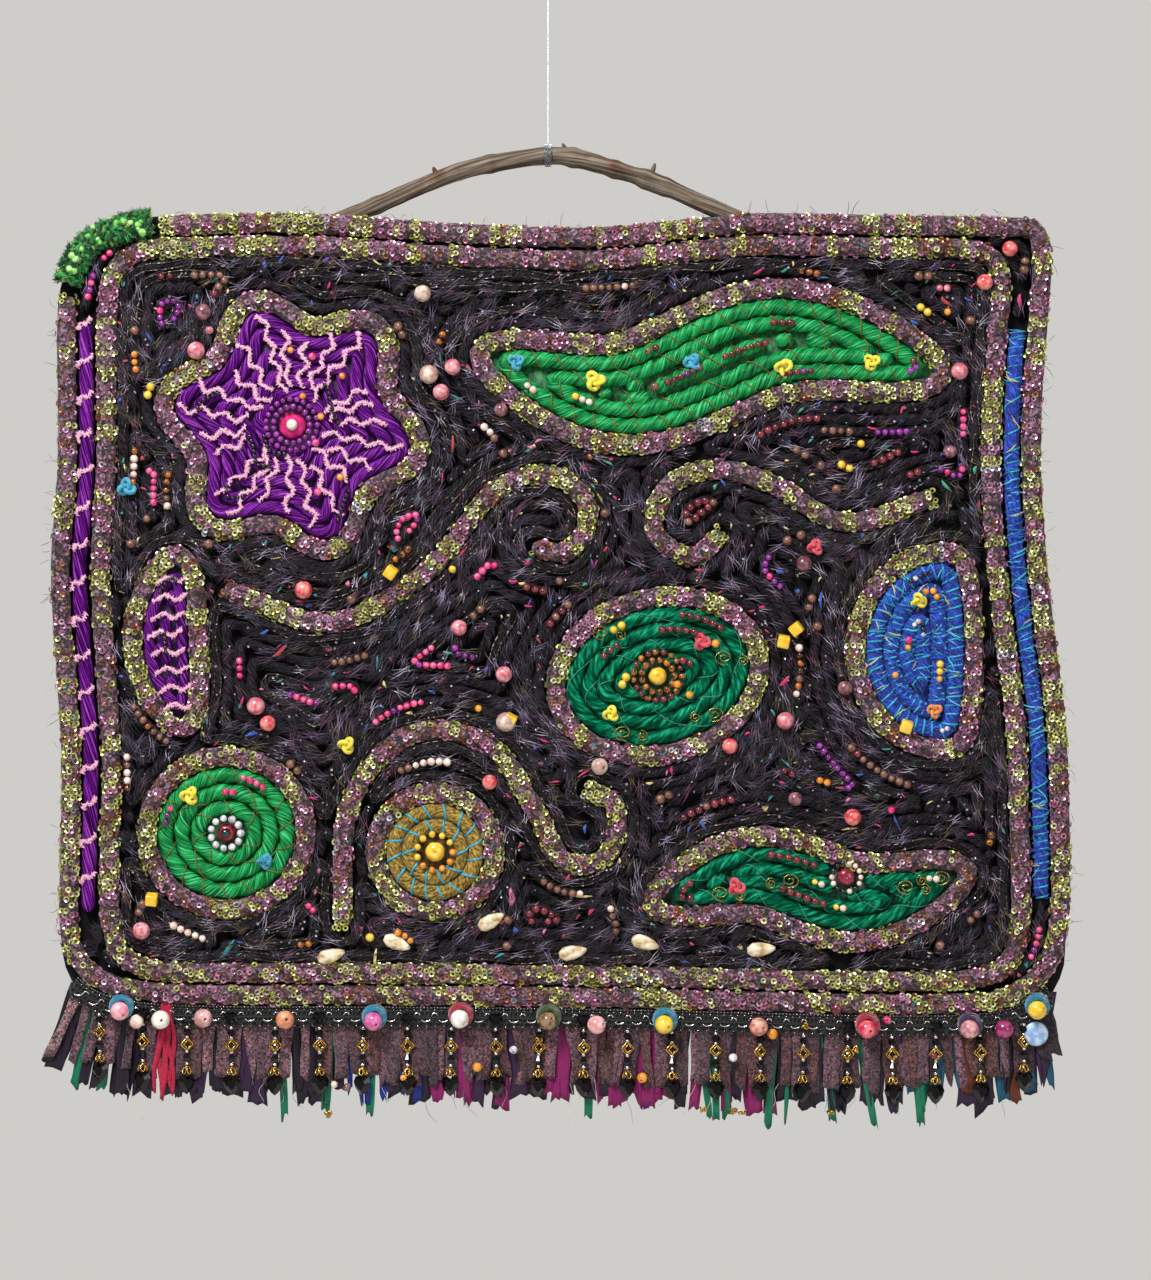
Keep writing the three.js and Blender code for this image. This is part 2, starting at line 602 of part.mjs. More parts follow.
// Branch behind the top edge: a bent stick that touches the cloth all along, with stubs of cut twigs.
const stick = smooth(BRANCH, false, 2);
const bark = cord(stick, false, (i) => {
  const radius = stick[i][2];
  return around(BRANCH_SIDES, (angle) => {
    const turned = angle + Math.PI / BRANCH_SIDES;
    return [radius * Math.cos(turned), -SEAM - radius + radius * Math.sin(turned)];
  });
});
const stubs = TWIGS.map(([x, z, lean, length]) => {
  const stub = new THREE.CylinderGeometry(...TWIG_RADII, length, 6).translate(0, length / 2, 0);
  return stub.rotateX(Math.PI / 2).rotateY(lean).translate(x, SEAM + CROWN_RADIUS, z);
});
add("branch", geometryOf(joined([bark, ...stubs])), 0x6f5a47);

// Clear line: turns wound round the crown, and one strand up to its knot.
const crown = new THREE.Vector3(0, SEAM + CROWN_RADIUS, CROWN_RADIUS);
const wrapInner = CROWN_RADIUS + 2.5 * SEAM;
const wrapOuter = wrapInner + WRAPS.thickness;
const wrapProfile = [[wrapInner, -1], [wrapOuter, -1], [wrapOuter, 1], [wrapInner, 1], [wrapInner, -1]];
const wrapPoints = wrapProfile.map(([radius, side]) => new THREE.Vector2(radius, (side * WRAPS.width) / 2));
const wraps = new THREE.LatheGeometry(wrapPoints, WRAPS.sides).rotateZ(Math.PI / 2);
add("line_wraps", facingOut(wraps.translate(crown.x, crown.y, crown.z)), 0xdfe3e6, 0.2);

const lineFoot = new THREE.Vector3(0, crown.y, crown.z + wrapOuter + SEAM);
const strand = new THREE.LineCurve3(lineFoot, new THREE.Vector3(0, crown.y, LINE.top));
const lineRound = new THREE.Shape(around(LINE.sides, (angle) => {
  return new THREE.Vector2(Math.cos(angle), Math.sin(angle)).multiplyScalar(LINE.diameter / 2);
}));
const hangingLine = new THREE.ExtrudeGeometry(lineRound, { steps: LINE.steps, extrudePath: strand });
add("hanging_line", hangingLine, 0xdfe3e6, 0.2);
const knot = new THREE.SphereGeometry(LINE.knotRadius, 8, 6).rotateX(Math.PI / 2);
add("line_knot", knot.translate(0, crown.y, LINE.top + SEAM + LINE.knotRadius), 0xdfe3e6, 0.2);

export default model;
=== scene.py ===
import math

import bmesh
import bpy
import numpy as np
from mathutils import Matrix, Vector
from mathutils.kdtree import KDTree


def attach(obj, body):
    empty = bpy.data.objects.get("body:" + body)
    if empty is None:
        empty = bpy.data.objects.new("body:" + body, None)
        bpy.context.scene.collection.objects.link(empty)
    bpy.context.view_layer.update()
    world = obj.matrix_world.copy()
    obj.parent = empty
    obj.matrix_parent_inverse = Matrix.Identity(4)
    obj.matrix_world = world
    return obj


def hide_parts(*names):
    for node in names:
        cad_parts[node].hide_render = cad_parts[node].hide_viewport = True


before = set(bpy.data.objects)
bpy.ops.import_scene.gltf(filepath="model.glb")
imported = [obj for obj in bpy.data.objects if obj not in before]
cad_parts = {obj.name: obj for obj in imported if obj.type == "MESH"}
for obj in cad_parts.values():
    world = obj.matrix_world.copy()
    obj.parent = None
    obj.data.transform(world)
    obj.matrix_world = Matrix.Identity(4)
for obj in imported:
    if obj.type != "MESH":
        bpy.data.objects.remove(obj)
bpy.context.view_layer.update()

# Camera: level and straight in front of the hanging, the whole of it in view with a margin.
# The frame is 1151 by 1280, and one pixel is 0.64 mm at the rug.
FRAME_HEIGHT = 1280
PIXEL = 0.00064
CAMERA_DISTANCE = 2.0
CAMERA_X, CAMERA_Z = 0.0176, -0.305
camera_data = bpy.data.cameras.new("camera")
camera_data.sensor_fit = "VERTICAL"
camera_data.sensor_height = 36
camera_data.lens = camera_data.sensor_height * CAMERA_DISTANCE / (FRAME_HEIGHT * PIXEL)
camera = bpy.data.objects.new("camera", camera_data)
camera.location = (CAMERA_X, -CAMERA_DISTANCE, CAMERA_Z)
camera.rotation_euler = (math.radians(90), 0, 0)
bpy.context.scene.collection.objects.link(camera)
bpy.context.scene.camera = camera


# Hanging line: one strand of clear nylon fishing line, wound in close turns round the crown of the
# branch. It runs straight up and ends in a small knot, where a nail holds it.
MM = 0.001
LINE_RADIUS = 0.3 * MM
LINE_TOP = 108 * MM
CROWN_DEPTH, CROWN_HEIGHT = 6.2 * MM, 5.9 * MM
WRAP_RADIUS, WRAP_WIDTH, WRAP_TURNS = 7.0 * MM, 4.4 * MM, 8
STRAND_START = 7.65 * MM
KNOT_SCALE, KNOT_HALF, KNOT_RISE = 0.36 * MM, 0.42 * MM, 1.6 * MM


def linear(colour):
    """An sRGB hex colour as linear red, green, blue and alpha."""
    channels = [int(colour[i:i + 2], 16) / 255 for i in (0, 2, 4)]
    return [c / 12.92 if c <= 0.04045 else ((c + 0.055) / 1.055) ** 2.4 for c in channels] + [1.0]


def node(tree, kind, settings=(), stops=(), **inputs):
    """A node with its settings and colour stops. An input is a number, a colour or another's output."""
    made = tree.nodes.new(kind)
    for key, value in dict(settings).items():
        setattr(made, key, value)
    for place, (position, colour) in enumerate(stops):
        band = made.color_ramp.elements
        stop = band[place] if place < 2 else band.new(position)
        stop.position, stop.color = position, linear(colour)
    for key, value in inputs.items():
        socket = made.inputs[int(key[1:])] if key[1:].isdigit() else made.inputs[key.replace("_", " ")]
        if isinstance(value, bpy.types.NodeSocket):
            tree.links.new(value, socket)
        else:
            socket.default_value = value
    return made


def finish(name, shades, roughness, scale=(300, 300, 300), along=False, cells=False, by_lot=False,
           relief=0.0002, detail=3.0, **sockets):
    """A material whose colour runs through shades by a fine noise, by cells, or by the lot of a copy.
    The pattern lies in the object's own space, or runs along with the strands of a cord."""
    made = bpy.data.materials.new(name)
    made.use_nodes = True
    tree = made.node_tree
    shader = tree.nodes["Principled BSDF"]
    for key, value in {"Roughness": roughness, **sockets}.items():
        shader.inputs[key.replace("_", " ")].default_value = value
    if along:
        place = node(tree, "ShaderNodeAttribute", {"attribute_name": "strand"}).outputs["Vector"]
    else:
        place = node(tree, "ShaderNodeTexCoord").outputs["Object"]
    place = node(tree, "ShaderNodeMapping", Vector=place, Scale=scale).outputs["Vector"]
    if cells:
        pattern = node(tree, "ShaderNodeTexVoronoi", Vector=place, Scale=1)
        height = pattern.outputs["Distance"]
        factor = node(tree, "ShaderNodeSeparateColor", Color=pattern.outputs["Color"]).outputs["Red"]
    else:
        pattern = node(tree, "ShaderNodeTexNoise", Vector=place, Scale=1, Detail=detail)
        height = factor = pattern.outputs["Fac"]
    if by_lot:
        factor = node(tree, "ShaderNodeAttribute", {"attribute_name": "lot"}).outputs["Fac"]
    ramp = node(tree, "ShaderNodeValToRGB", stops=shades, Fac=factor)
    ramp.color_ramp.interpolation = "CONSTANT" if by_lot or cells else "LINEAR"
    tree.links.new(ramp.outputs["Color"], shader.inputs["Base Color"])
    bump = node(tree, "ShaderNodeBump", Strength=0.9, Distance=relief, Height=height)
    tree.links.new(bump.outputs["Normal"], shader.inputs["Normal"])
    return made


def tinted(material, share, tint):
    """Multiplies the colour of a finish by a tint, as far as a share from 0 to 1 says."""
    tree = material.node_tree
    own = next(made for made in tree.nodes if made.bl_idname == "ShaderNodeValToRGB").outputs["Color"]
    mixed = node(
        tree, "ShaderNodeMix", {"data_type": "RGBA", "blend_type": "MULTIPLY"}, _0=share, _6=own, _7=tint,
    )
    tree.links.new(mixed.outputs[2], tree.nodes["Principled BSDF"].inputs["Base Color"])


def placed(name, mesh, material, slot_name, *nodes, smooth_faces=True):
    """An object at the origin that rides on the hanging and stands for the named nodes."""
    made = bpy.data.objects.new(name, mesh)
    bpy.context.scene.collection.objects.link(made)
    mesh.materials.clear()
    mesh.materials.append(material)
    if smooth_faces:
        mesh.shade_smooth()
    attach(made, "root")
    if nodes:
        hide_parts(*nodes)
    return made


def thickened(piece, thickness, side=0):
    """Gives a sheet its thickness in millimetres, on both sides or all on one."""
    thick = piece.modifiers.new("thickness", "SOLIDIFY")
    thick.thickness = thickness * MM
    thick.offset = side


def as_mesh(name, made):
    mesh = bpy.data.meshes.new(name)
    made.to_mesh(mesh)
    made.free()
    return mesh


def unit(vectors):
    return vectors / np.maximum(np.linalg.norm(vectors, axis=-1, keepdims=True), 1e-12)


def along_way(points, closed):
    """The way that a line runs at each of its points."""
    return unit(np.roll(points, -1, 0) - np.roll(points, 1, 0) if closed else np.gradient(points, axis=0))


def laid(name, runs, sides=8, plies=2, groove=0.0, lay=0.02, lump=0.0, front=(0, -1, 0), seed=1):
    """Cords in one mesh, each a grid rolled round a line of points. A run is its line, whether it is
    closed, and its half width and half depth. Grooves part the plies, one turn in each lay."""
    rng = np.random.default_rng(seed)
    made = bmesh.new()
    strand, lot = made.verts.layers.float_vector.new("strand"), made.verts.layers.float.new("lot")
    angles = np.arange(sides + 1) * 2 * np.pi / sides
    for points, closed, wide, deep in runs:
        count = len(points)
        ahead = along_way(points, closed)
        aside = unit(np.cross(ahead, front))
        out = np.cross(aside, ahead)
        along = np.cumsum(np.linalg.norm(points - np.roll(points, 1, 0), axis=1))
        along, length = along - along[0], along[-1]
        turn = 2 * np.pi * along / (length / max(1, round(length / lay)) if closed else lay)
        knobs = np.arange(0, count, 3)
        swell = 1 + lump * np.interp(np.arange(count), knobs, rng.uniform(-1, 1, len(knobs)), period=count)
        if not closed and count > 3:
            swell[[0, -1]] *= 0.45
            swell[[1, -2]] *= 0.88
        ring = np.arange(count + closed) % count
        number = rng.random()
        lobes = 1 - groove * (1 - np.abs(np.cos(plies * (angles - turn[ring, None]) / 2)))
        reach = (lobes * swell[ring, None])[:, :, None]
        wide, deep = (np.broadcast_to(half, count)[ring, None, None] for half in (wide, deep))
        places = points[ring, None] + reach * (
            aside[ring, None] * wide * np.cos(angles)[:, None]
            + out[ring, None] * deep * np.sin(angles)[:, None]
        )
        folded_along = np.minimum(along, length - along if closed else along)[ring, None] + number
        fibres = np.stack([
            np.broadcast_to(folded_along, lobes.shape), np.cos(angles - turn[ring, None]),
            np.sin(angles - turn[ring, None]),
        ], axis=2)
        grid = bmesh.ops.create_grid(made, x_segments=sides, y_segments=len(ring) - 1, size=0.5)["verts"]
        for vert, place, fibre in zip(grid, places.reshape(-1, 3).tolist(), fibres.reshape(-1, 3).tolist()):
            vert.co = place
            vert[strand] = fibre
            vert[lot] = number
    bmesh.ops.remove_doubles(made, verts=made.verts, dist=1e-6)
    bmesh.ops.holes_fill(made, edges=made.edges)
    bmesh.ops.recalc_face_normals(made, faces=made.faces)
    return as_mesh(name, made)


# Clear drawn nylon: a pale, faintly blue thread that lets the light through.
clear_nylon = finish(
    "clear_drawn_nylon", [(0.3, "b9c0c4"), (0.7, "d3d8da")], 0.2, IOR=1.53, Transmission_Weight=0.9,
    Specular_IOR_Level=0.15,
)
line_places = [(0, CROWN_DEPTH, z) for z in np.linspace(CROWN_HEIGHT + STRAND_START, LINE_TOP, 16)]
line_curve = bpy.data.curves.new("hanging_line_strand", "CURVE")
line_curve.dimensions = "3D"
line_curve.bevel_depth = LINE_RADIUS
line_curve.bevel_resolution = 2
line_curve.use_fill_caps = True
line_spline = line_curve.splines.new("POLY")
line_spline.points.add(len(line_places) - 1)
for point, place in zip(line_spline.points, line_places):
    point.co = (*place, 1)
line_curve.materials.append(clear_nylon)
hanging_line = bpy.data.objects.new("hanging_line_strand", line_curve)
bpy.context.scene.collection.objects.link(hanging_line)
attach(hanging_line, "root")
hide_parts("hanging_line")

angle = np.linspace(0, 2 * np.pi * WRAP_TURNS, WRAP_TURNS * 18)
wrap_path = np.column_stack([
    WRAP_WIDTH * (angle / angle[-1] - 0.5), CROWN_DEPTH + WRAP_RADIUS * np.cos(angle),
    CROWN_HEIGHT + WRAP_RADIUS * np.sin(angle),
])
wound_turns = placed(
    "wound_turns", laid("wound_turns", [(wrap_path, False, LINE_RADIUS, LINE_RADIUS)], 6, front=(1, 0, 0)),
    clear_nylon, "clear_nylon", "line_wraps",
)
angle = np.arange(36) * 2 * np.pi / 36
trefoil = np.column_stack([
    np.sin(angle) + 2 * np.sin(2 * angle), -np.sin(3 * angle), np.cos(angle) - 2 * np.cos(2 * angle),
])
knot_path = trefoil * KNOT_SCALE + (0, CROWN_DEPTH, LINE_TOP + KNOT_RISE)
tied_knot = placed(
    "tied_knot", laid("tied_knot", [(knot_path, True, KNOT_HALF, KNOT_HALF)], 6, front=(0.1, -1, 0.2)),
    clear_nylon, "clear_nylon", "line_knot",
)


# Branch: a bent stick as thick as a finger, its grey-brown bark left on and its twigs cut short.
# It lies behind the top edge of the rug and is sewn to the cloth at both ends.
BRANCH = [
    # x, z, radius
    (-168, -51, 5.2), (-146, -41, 5.5), (-128, -33, 5.4), (-107.5, -25, 5.6), (-82, -14, 5.5),
    (-56, -4, 5.8), (-31, 1.7, 5.7), (0, 5.9, 5.9), (20.5, 3.8, 6.1), (46, -3.9, 5.6), (60, -8.2, 5.7),
    (69, -11.8, 6.4), (80, -16.2, 5.5), (97, -24, 5.6), (123, -35, 5.3), (161, -51, 4.9),
]
BRANCH_KNOBS = [
    # x, height
    (-110, 0.5), (-37, 0.6), (16, 0.9), (43, 0.8), (62, 1.0), (76, 0.9), (104, 0.5),
]
TWIGS = [
    # x, z, lean, length
    (12, 8.5, -0.5, 6), (66, -6.5, 0.35, 8), (-72, -5.5, -0.4, 4.5),
]
BEHIND = 0.3


def smooth(points, closed, steps):
    """Catmull-Rom curve through points, with a number of steps for each span."""
    knots = np.array(points, float)
    spans = len(knots) if closed else len(knots) - 1
    t = np.arange(steps)[:, None] / steps
    found = []
    for i in range(spans):
        here, there = knots[i], knots[(i + 1) % len(knots)]
        before = knots[i - 1] if closed or i else 2 * here - there
        after = knots[(i + 2) % len(knots)] if closed or i + 2 < len(knots) else 2 * there - here
        found.append(0.5 * (
            2 * here + (there - before) * t + (2 * before - 5 * here + 4 * there - after) * t ** 2
            + (3 * here - before - 3 * there + after) * t ** 3
        ))
    return np.vstack(found if closed else [*found, knots[-1:]])


def evenly(points, closed, step):
    """The same line with its points one step apart."""
    line = np.vstack([points, points[:1]]) if closed else np.asarray(points)
    along = np.concatenate([[0], np.cumsum(np.linalg.norm(np.diff(line[:, :2], axis=0), axis=1))])
    share = np.linspace(0, along[-1], max(4, round(along[-1] / step) + 1))
    found = np.column_stack([np.interp(share, along, column) for column in line.T])
    return found[:-1] if closed else found


# Weathered bark: long shallow cracks between pale grey ridges, browner where the skin has rubbed off.
bark = finish(
    "weathered_bark", [(0.3, "2b231d"), (0.45, "54473a"), (0.56, "74685a"), (0.72, "978b7d")], 0.85,
    (24, 4, 4), along=True, relief=0.0007, detail=8.0, Specular_IOR_Level=0.3,
)
tree = bark.node_tree
place = node(tree, "ShaderNodeTexCoord").outputs["Object"]
patches = node(tree, "ShaderNodeTexNoise", Vector=place, Scale=34, Detail=3)
rubbed = node(
    tree, "ShaderNodeValToRGB", stops=[(0.52, "000000"), (0.64, "dddddd")], Fac=patches.outputs["Fac"],
)
tinted(bark, rubbed.outputs["Color"], linear("c07a4c"))

stick = evenly(smooth(BRANCH, False, 8), False, 2)
knobs = sum(height * np.exp(-((stick[:, 0] - x) / 3.2) ** 2) for x, height in BRANCH_KNOBS)
stick_radius = (stick[:, 2] + knobs) * MM
stick_line = np.column_stack([stick[:, 0], BEHIND + stick[:, 2], stick[:, 1]]) * MM
branch_runs = [(stick_line, False, stick_radius * 0.99, stick_radius * 0.98)]
for x, z, lean, length in TWIGS:
    up = np.linspace(-2, length, 6)
    stub = np.column_stack([x + up * math.sin(lean), np.full(6, BEHIND + 5.9), z + up * math.cos(lean)])
    branch_runs.append((stub * MM, False, np.linspace(2.1, 1.3, 6) * MM, np.linspace(2.1, 1.3, 6) * MM))
branch_mesh = laid("bent_branch", branch_runs, 20, 3, 0.03, 0.6, 0.035, front=(0, -1, 0.01))
placed("bent_branch", branch_mesh, bark, "bark", "branch")


# Base cloth: black cotton cut to the outline, with a longer hem at the bottom that the fringe is sewn to.
# All rows are couched to its front, so its back shows their stitches and a turned hem.
EDGE = [
    (-280, -40), (-302, -55), (-312, -81), (-314, -113), (-313.5, -151), (-314, -202), (-318, -260),
    (-314, -330), (-311, -382), (-312, -446), (-312, -491), (-304, -514), (-286, -529), (-260, -535.5),
    (-211, -538), (-95, -538.5), (33, -540), (123, -542), (209, -544), (274, -543), (302, -536),
    (322, -519), (331, -498), (334, -464), (333.5, -420), (331, -356), (324.5, -305), (319, -254),
    (315.5, -202), (316, -151), (320.5, -90), (322, -56), (314, -38), (292, -34.5), (225, -33.5),
    (136, -32), (97, -35), (33, -41), (-31, -40), (-95, -36), (-159, -32), (-248, -34),
]
CLOTH_THICKNESS, HEM_THICKNESS = 2, 0.6
HEM_REACH, HEM_FROM, HEM_FADE = 9, -500, 28
CLOTH_CELL = 8.5
STITCHES = 4100


def to_left(ahead):
    return np.column_stack([-ahead[:, 1], ahead[:, 0]])


def offset(points, closed, reach):
    """A parallel line to the left of the way the points run."""
    return points[:, :2] + to_left(along_way(points[:, :2], closed)) * np.reshape(reach, (-1, 1))


def within(places, outline):
    """Whether each place lies inside a closed outline."""
    found = np.zeros(len(places), bool)
    for (x0, z0), (x1, z1) in zip(outline, np.roll(outline, -1, 0)):
        if z0 != z1:
            spans = (z0 > places[:, 1]) != (z1 > places[:, 1])
            found ^= spans & (places[:, 0] < (x1 - x0) * (places[:, 1] - z0) / (z1 - z0) + x0)
    return found


def lifted(pairs, out=0.0):
    """Pairs of x and z as vectors that stand out to the front."""
    return np.column_stack([pairs[:, 0], np.broadcast_to(-np.asarray(out, float), len(pairs)), pairs[:, 1]])


def run(line, depth, closed, wide, deep=None):
    """A cord to be laid, from millimetres: its line at a depth, and its half width and half depth."""
    return lifted(line, depth) * MM, closed, wide * MM, (wide if deep is None else deep) * MM


copying = bpy.data.node_groups.new("sewn_copies", "GeometryNodeTree")
for way_in in ("INPUT", "OUTPUT"):
    copying.interface.new_socket("Geometry", in_out=way_in, socket_type="NodeSocketGeometry")
shape_node = node(copying, "GeometryNodeObjectInfo")
front_field, way_field, size_field = (
    node(copying, "GeometryNodeInputNamedAttribute", {"data_type": "FLOAT_VECTOR"}, Name=name).outputs[0]
    for name in ("front", "way", "size")
)
faced = node(copying, "FunctionNodeAlignRotationToVector", {"axis": "Z"}, Vector=front_field)
turned = node(
    copying, "FunctionNodeAlignRotationToVector", {"axis": "X", "pivot_axis": "Z"},
    Rotation=faced.outputs[0], Vector=way_field,
)
copies = node(
    copying, "GeometryNodeInstanceOnPoints", Points=node(copying, "NodeGroupInput").outputs[0],
    Instance=shape_node.outputs["Geometry"], Rotation=turned.outputs[0], Scale=size_field,
)
real = node(copying, "GeometryNodeRealizeInstances", Geometry=copies.outputs[0])
node(copying, "NodeGroupOutput", Geometry=real.outputs[0])


def sewn(name, material, slot_name, stamp, places, fronts, ways, sizes, lots, smooth_faces=True):
    """A piece of copies of a small shape. Each has a place, its own z turned to a front, its own x
    turned along a way, a size in metres for a unit, and a lot from 0 to 1 for its colour."""
    points = bpy.data.meshes.new(name)
    points.from_pydata(np.asarray(places).tolist(), [], [])
    sizes = np.asarray(sizes, float)
    sizes = sizes[:, None] if sizes.ndim == 1 else sizes
    for field, values in (("front", fronts), ("way", ways), ("size", sizes)):
        values = np.broadcast_to(values, (len(places), 3)).astype(np.float32).ravel()
        points.attributes.new(field, "FLOAT_VECTOR", "POINT").data.foreach_set("vector", values)
    points.attributes.new("lot", "FLOAT", "POINT").data.foreach_set("value", np.asarray(lots, np.float32))
    carrier = bpy.data.objects.new(name, points)
    bpy.context.scene.collection.objects.link(carrier)
    carrier.modifiers.new("copies", "NODES").node_group = copying
    shape = bpy.data.objects.new(name + "_shape", stamp)
    shape_node.inputs["Object"].default_value = shape
    graph = bpy.context.evaluated_depsgraph_get()
    mesh = bpy.data.meshes.new_from_object(carrier.evaluated_get(graph), depsgraph=graph)
    for field in ("front", "way", "size"):
        mesh.attributes.remove(mesh.attributes[field])
    bpy.data.objects.remove(carrier)
    bpy.data.objects.remove(shape)
    return placed(name, mesh, material, slot_name, smooth_faces=smooth_faces)


# Black cotton drill: dull and slightly napped, its weave drawn at 1.2 mm so that it shows.
black_drill = finish(
    "black_cotton_drill", [(0.35, "070608"), (0.6, "0d0c0f"), (0.8, "19171c")], 0.95, (830, 830, 210),
    relief=0.0004, Sheen_Weight=0.1, Specular_IOR_Level=0.2,
)
edge = evenly(smooth(EDGE, True, 6), True, 3)
hem = -HEM_REACH * np.clip((HEM_FROM - edge[:, 1]) / HEM_FADE, 0, 1)
cut = evenly(offset(edge, True, hem), True, 3)
low, high = cut.min(axis=0), cut.max(axis=0)
cells = np.ceil((high - low) / CLOTH_CELL).astype(int) + 2
spread = Matrix.Diagonal((*(cells * CLOTH_CELL), 1, 1))
middle = Matrix.Translation(((low[0] + high[0]) / 2, 0, (low[1] + high[1]) / 2))
cloth = bmesh.new()
bmesh.ops.create_grid(
    cloth, x_segments=cells[0], y_segments=cells[1], size=0.5,
    matrix=middle @ Matrix.Rotation(math.pi / 2, 4, "X") @ spread,
)
places = np.array([(vert.co.x, vert.co.z) for vert in cloth.verts])
gaps = np.array([np.min(np.hypot(*(cut - place).T)) for place in places])
stray = ~within(places, cut) & (gaps > CLOTH_CELL * 0.55)
bmesh.ops.delete(cloth, geom=[vert for vert, out in zip(cloth.verts, stray) if out], context="VERTS")
for vert in cloth.verts:
    if vert.is_boundary:
        vert.co.x, vert.co.z = cut[np.argmin(np.hypot(cut[:, 0] - vert.co.x, cut[:, 1] - vert.co.z))]
    vert.co.y = -0.2 - 0.15 * math.sin(vert.co.x * 0.21) * math.cos(vert.co.z * 0.17)
bmesh.ops.scale(cloth, vec=(MM, MM, MM), verts=cloth.verts)
cloth_area = sum(face.calc_area() for face in cloth.faces)
cloth_mesh = as_mesh("base_cloth_sheet", cloth)
base_cloth = placed("base_cloth_sheet", cloth_mesh, black_drill, "base_cotton", "base_cloth")
thickened(base_cloth, CLOTH_THICKNESS - HEM_THICKNESS, 1)

# Hem and stitches: the edge is turned to the back and whipped down, and each couching stitch shows as
# a short grey or olive dash on the back. Both are cotton thread.
HEM_INSET, HEM_HALF, WHIP_INSET, STITCH_INSET = 4.2, 3.6, 7.6, 12
hem_line = evenly(offset(cut, True, HEM_INSET), True, 4)
hem_mesh = laid("turned_hem", [run(hem_line, 0.1, True, HEM_HALF, HEM_THICKNESS)], 8, lump=0.12, seed=4)
turned_hem = placed("turned_hem", hem_mesh, black_drill, "base_cotton")
cotton_thread = finish(
    "waxed_cotton_thread", [(0, "4d4757"), (0.4, "2d2a33"), (0.7, "6a5f73"), (0.9, "7d7148")], 0.7,
    by_lot=True,
)
dash = bmesh.new()
bmesh.ops.create_cone(
    dash, cap_ends=True, segments=4, radius1=0.4, radius2=0.4, depth=3.4,
    matrix=Matrix.Diagonal((1, 1, 0.6, 1)) @ Matrix.Rotation(math.pi / 2, 4, "Y"),
)
rng = np.random.default_rng(5)
whip_line = evenly(offset(cut, True, WHIP_INSET), True, 6)
whip_way = along_way(whip_line, True)
whip_way = whip_way + 0.9 * to_left(whip_way)
spots = rng.uniform(low, high, (STITCHES, 2))
spots = spots[within(spots, offset(cut, True, STITCH_INSET))]
angle = np.sin(spots[:, 0] * 0.021) * 1.4 + np.cos(spots[:, 1] * 0.023) * 1.3
ways = np.vstack([lifted(whip_way), lifted(np.column_stack([np.cos(angle), np.sin(angle)]))])
places = np.vstack([lifted(whip_line, -0.55), lifted(spots, -0.02)]) * MM
back_stitches = sewn(
    "back_stitches", cotton_thread, "dark_yarn",
    as_mesh("dash", dash), places, (0, 1, 0), ways,
    rng.uniform(0.7, 1.2, len(places)) * MM, rng.random(len(places)),
)


# Dark field: plied black yarn laid in nested rows, each row beside the last, and couched down.
# Rows follow the ropes, so they ring every figure, and short ends of yarn fill what they leave.
INNER_BORDER = [
    (-262, -58), (-277, -72), (-281, -100), (-281.5, -151), (-282, -202), (-285.5, -260),
    (-281.5, -330), (-278.5, -382), (-279.5, -446), (-278.5, -486), (-270, -507), (-248, -515.5),
    (-211, -517), (-95, -517.5), (33, -519), (123, -521), (209, -522.5), (266, -521.5), (291, -513),
    (300.5, -492), (301.5, -464), (300.5, -420), (298, -356), (291.5, -305), (286, -254), (282.5, -202),
    (283.5, -151), (287, -105), (289, -80), (284, -62), (265, -55.5), (225, -55), (136, -53.5),
    (97, -56.5), (33, -62.5), (-31, -61.5), (-95, -57.5), (-159, -53.5), (-240, -55),
]
SCROLLS = {
    "scroll_left": [
        (-206, -272), (-140, -294), (-78, -262), (-34, -210), (4, -200), (26, -222), (14, -248), (-10, -246),
    ],
    "scroll_right": [
        (246, -214), (190, -230), (144, -206), (106, -196), (76, -208), (68, -236), (92, -252), (111, -237),
    ],
    "scroll_low": [
        (-131, -488), (-127, -412), (-90, -366), (-40, -370), (-10, -410), (10, -446), (38, -442),
        (44, -412), (24, -400),
    ],
}
SIDE_CORDS = {
    # name: top, bottom, slot
    "side_cord_left": ((-294, -100), (-293, -478), "violet_satin"),
    "side_cord_right": ((300, -104), (314, -468), "blue_wrapped_cord"),
}
BORDER_INSET, SIDE_INSET = 7, 19.5
ROPE_CLEAR, END_REACH = 6.8, 9
DARK_PITCH, DARK_MIDDLE, DARK_DEEP = 7.6, 5.8, 3.35
OVERLAP = 0.15
FIELD_CELL = 2.5


def around(steps, place):
    return np.array([place(2 * math.pi * i / steps) for i in range(steps)])


def rosette(x, z, radius, lobes, depth, turn):
    def place(angle):
        reach = radius * (1 + depth * math.cos(lobes * (angle + turn)))
        return (x + reach * math.cos(angle), z + reach * math.sin(angle))
    return around(lobes * 12, place)


def oval(x, z, across, up, turn):
    def place(angle):
        u, v = across * math.cos(angle), up * math.sin(angle)
        return (x + u * math.cos(turn) - v * math.sin(turn), z + u * math.sin(turn) + v * math.cos(turn))
    return around(60, place)


def fan_shape(x, z, left_reach, right_reach, half_height):
    def place(angle):
        across = math.cos(angle)
        reach = left_reach * across if across < 0 else right_reach * math.sqrt(across)
        return (x + reach, z + half_height * math.sin(angle))
    return around(60, place)


def leaf(spine, half_width):
    line = evenly(smooth(spine, False, 12), False, 4)
    width = half_width * np.sqrt(np.sin(np.pi * np.arange(len(line)) / (len(line) - 1)))
    width[-1] = 0
    return np.vstack([offset(line, False, -width), offset(line, False, width)[1:-1][::-1]])


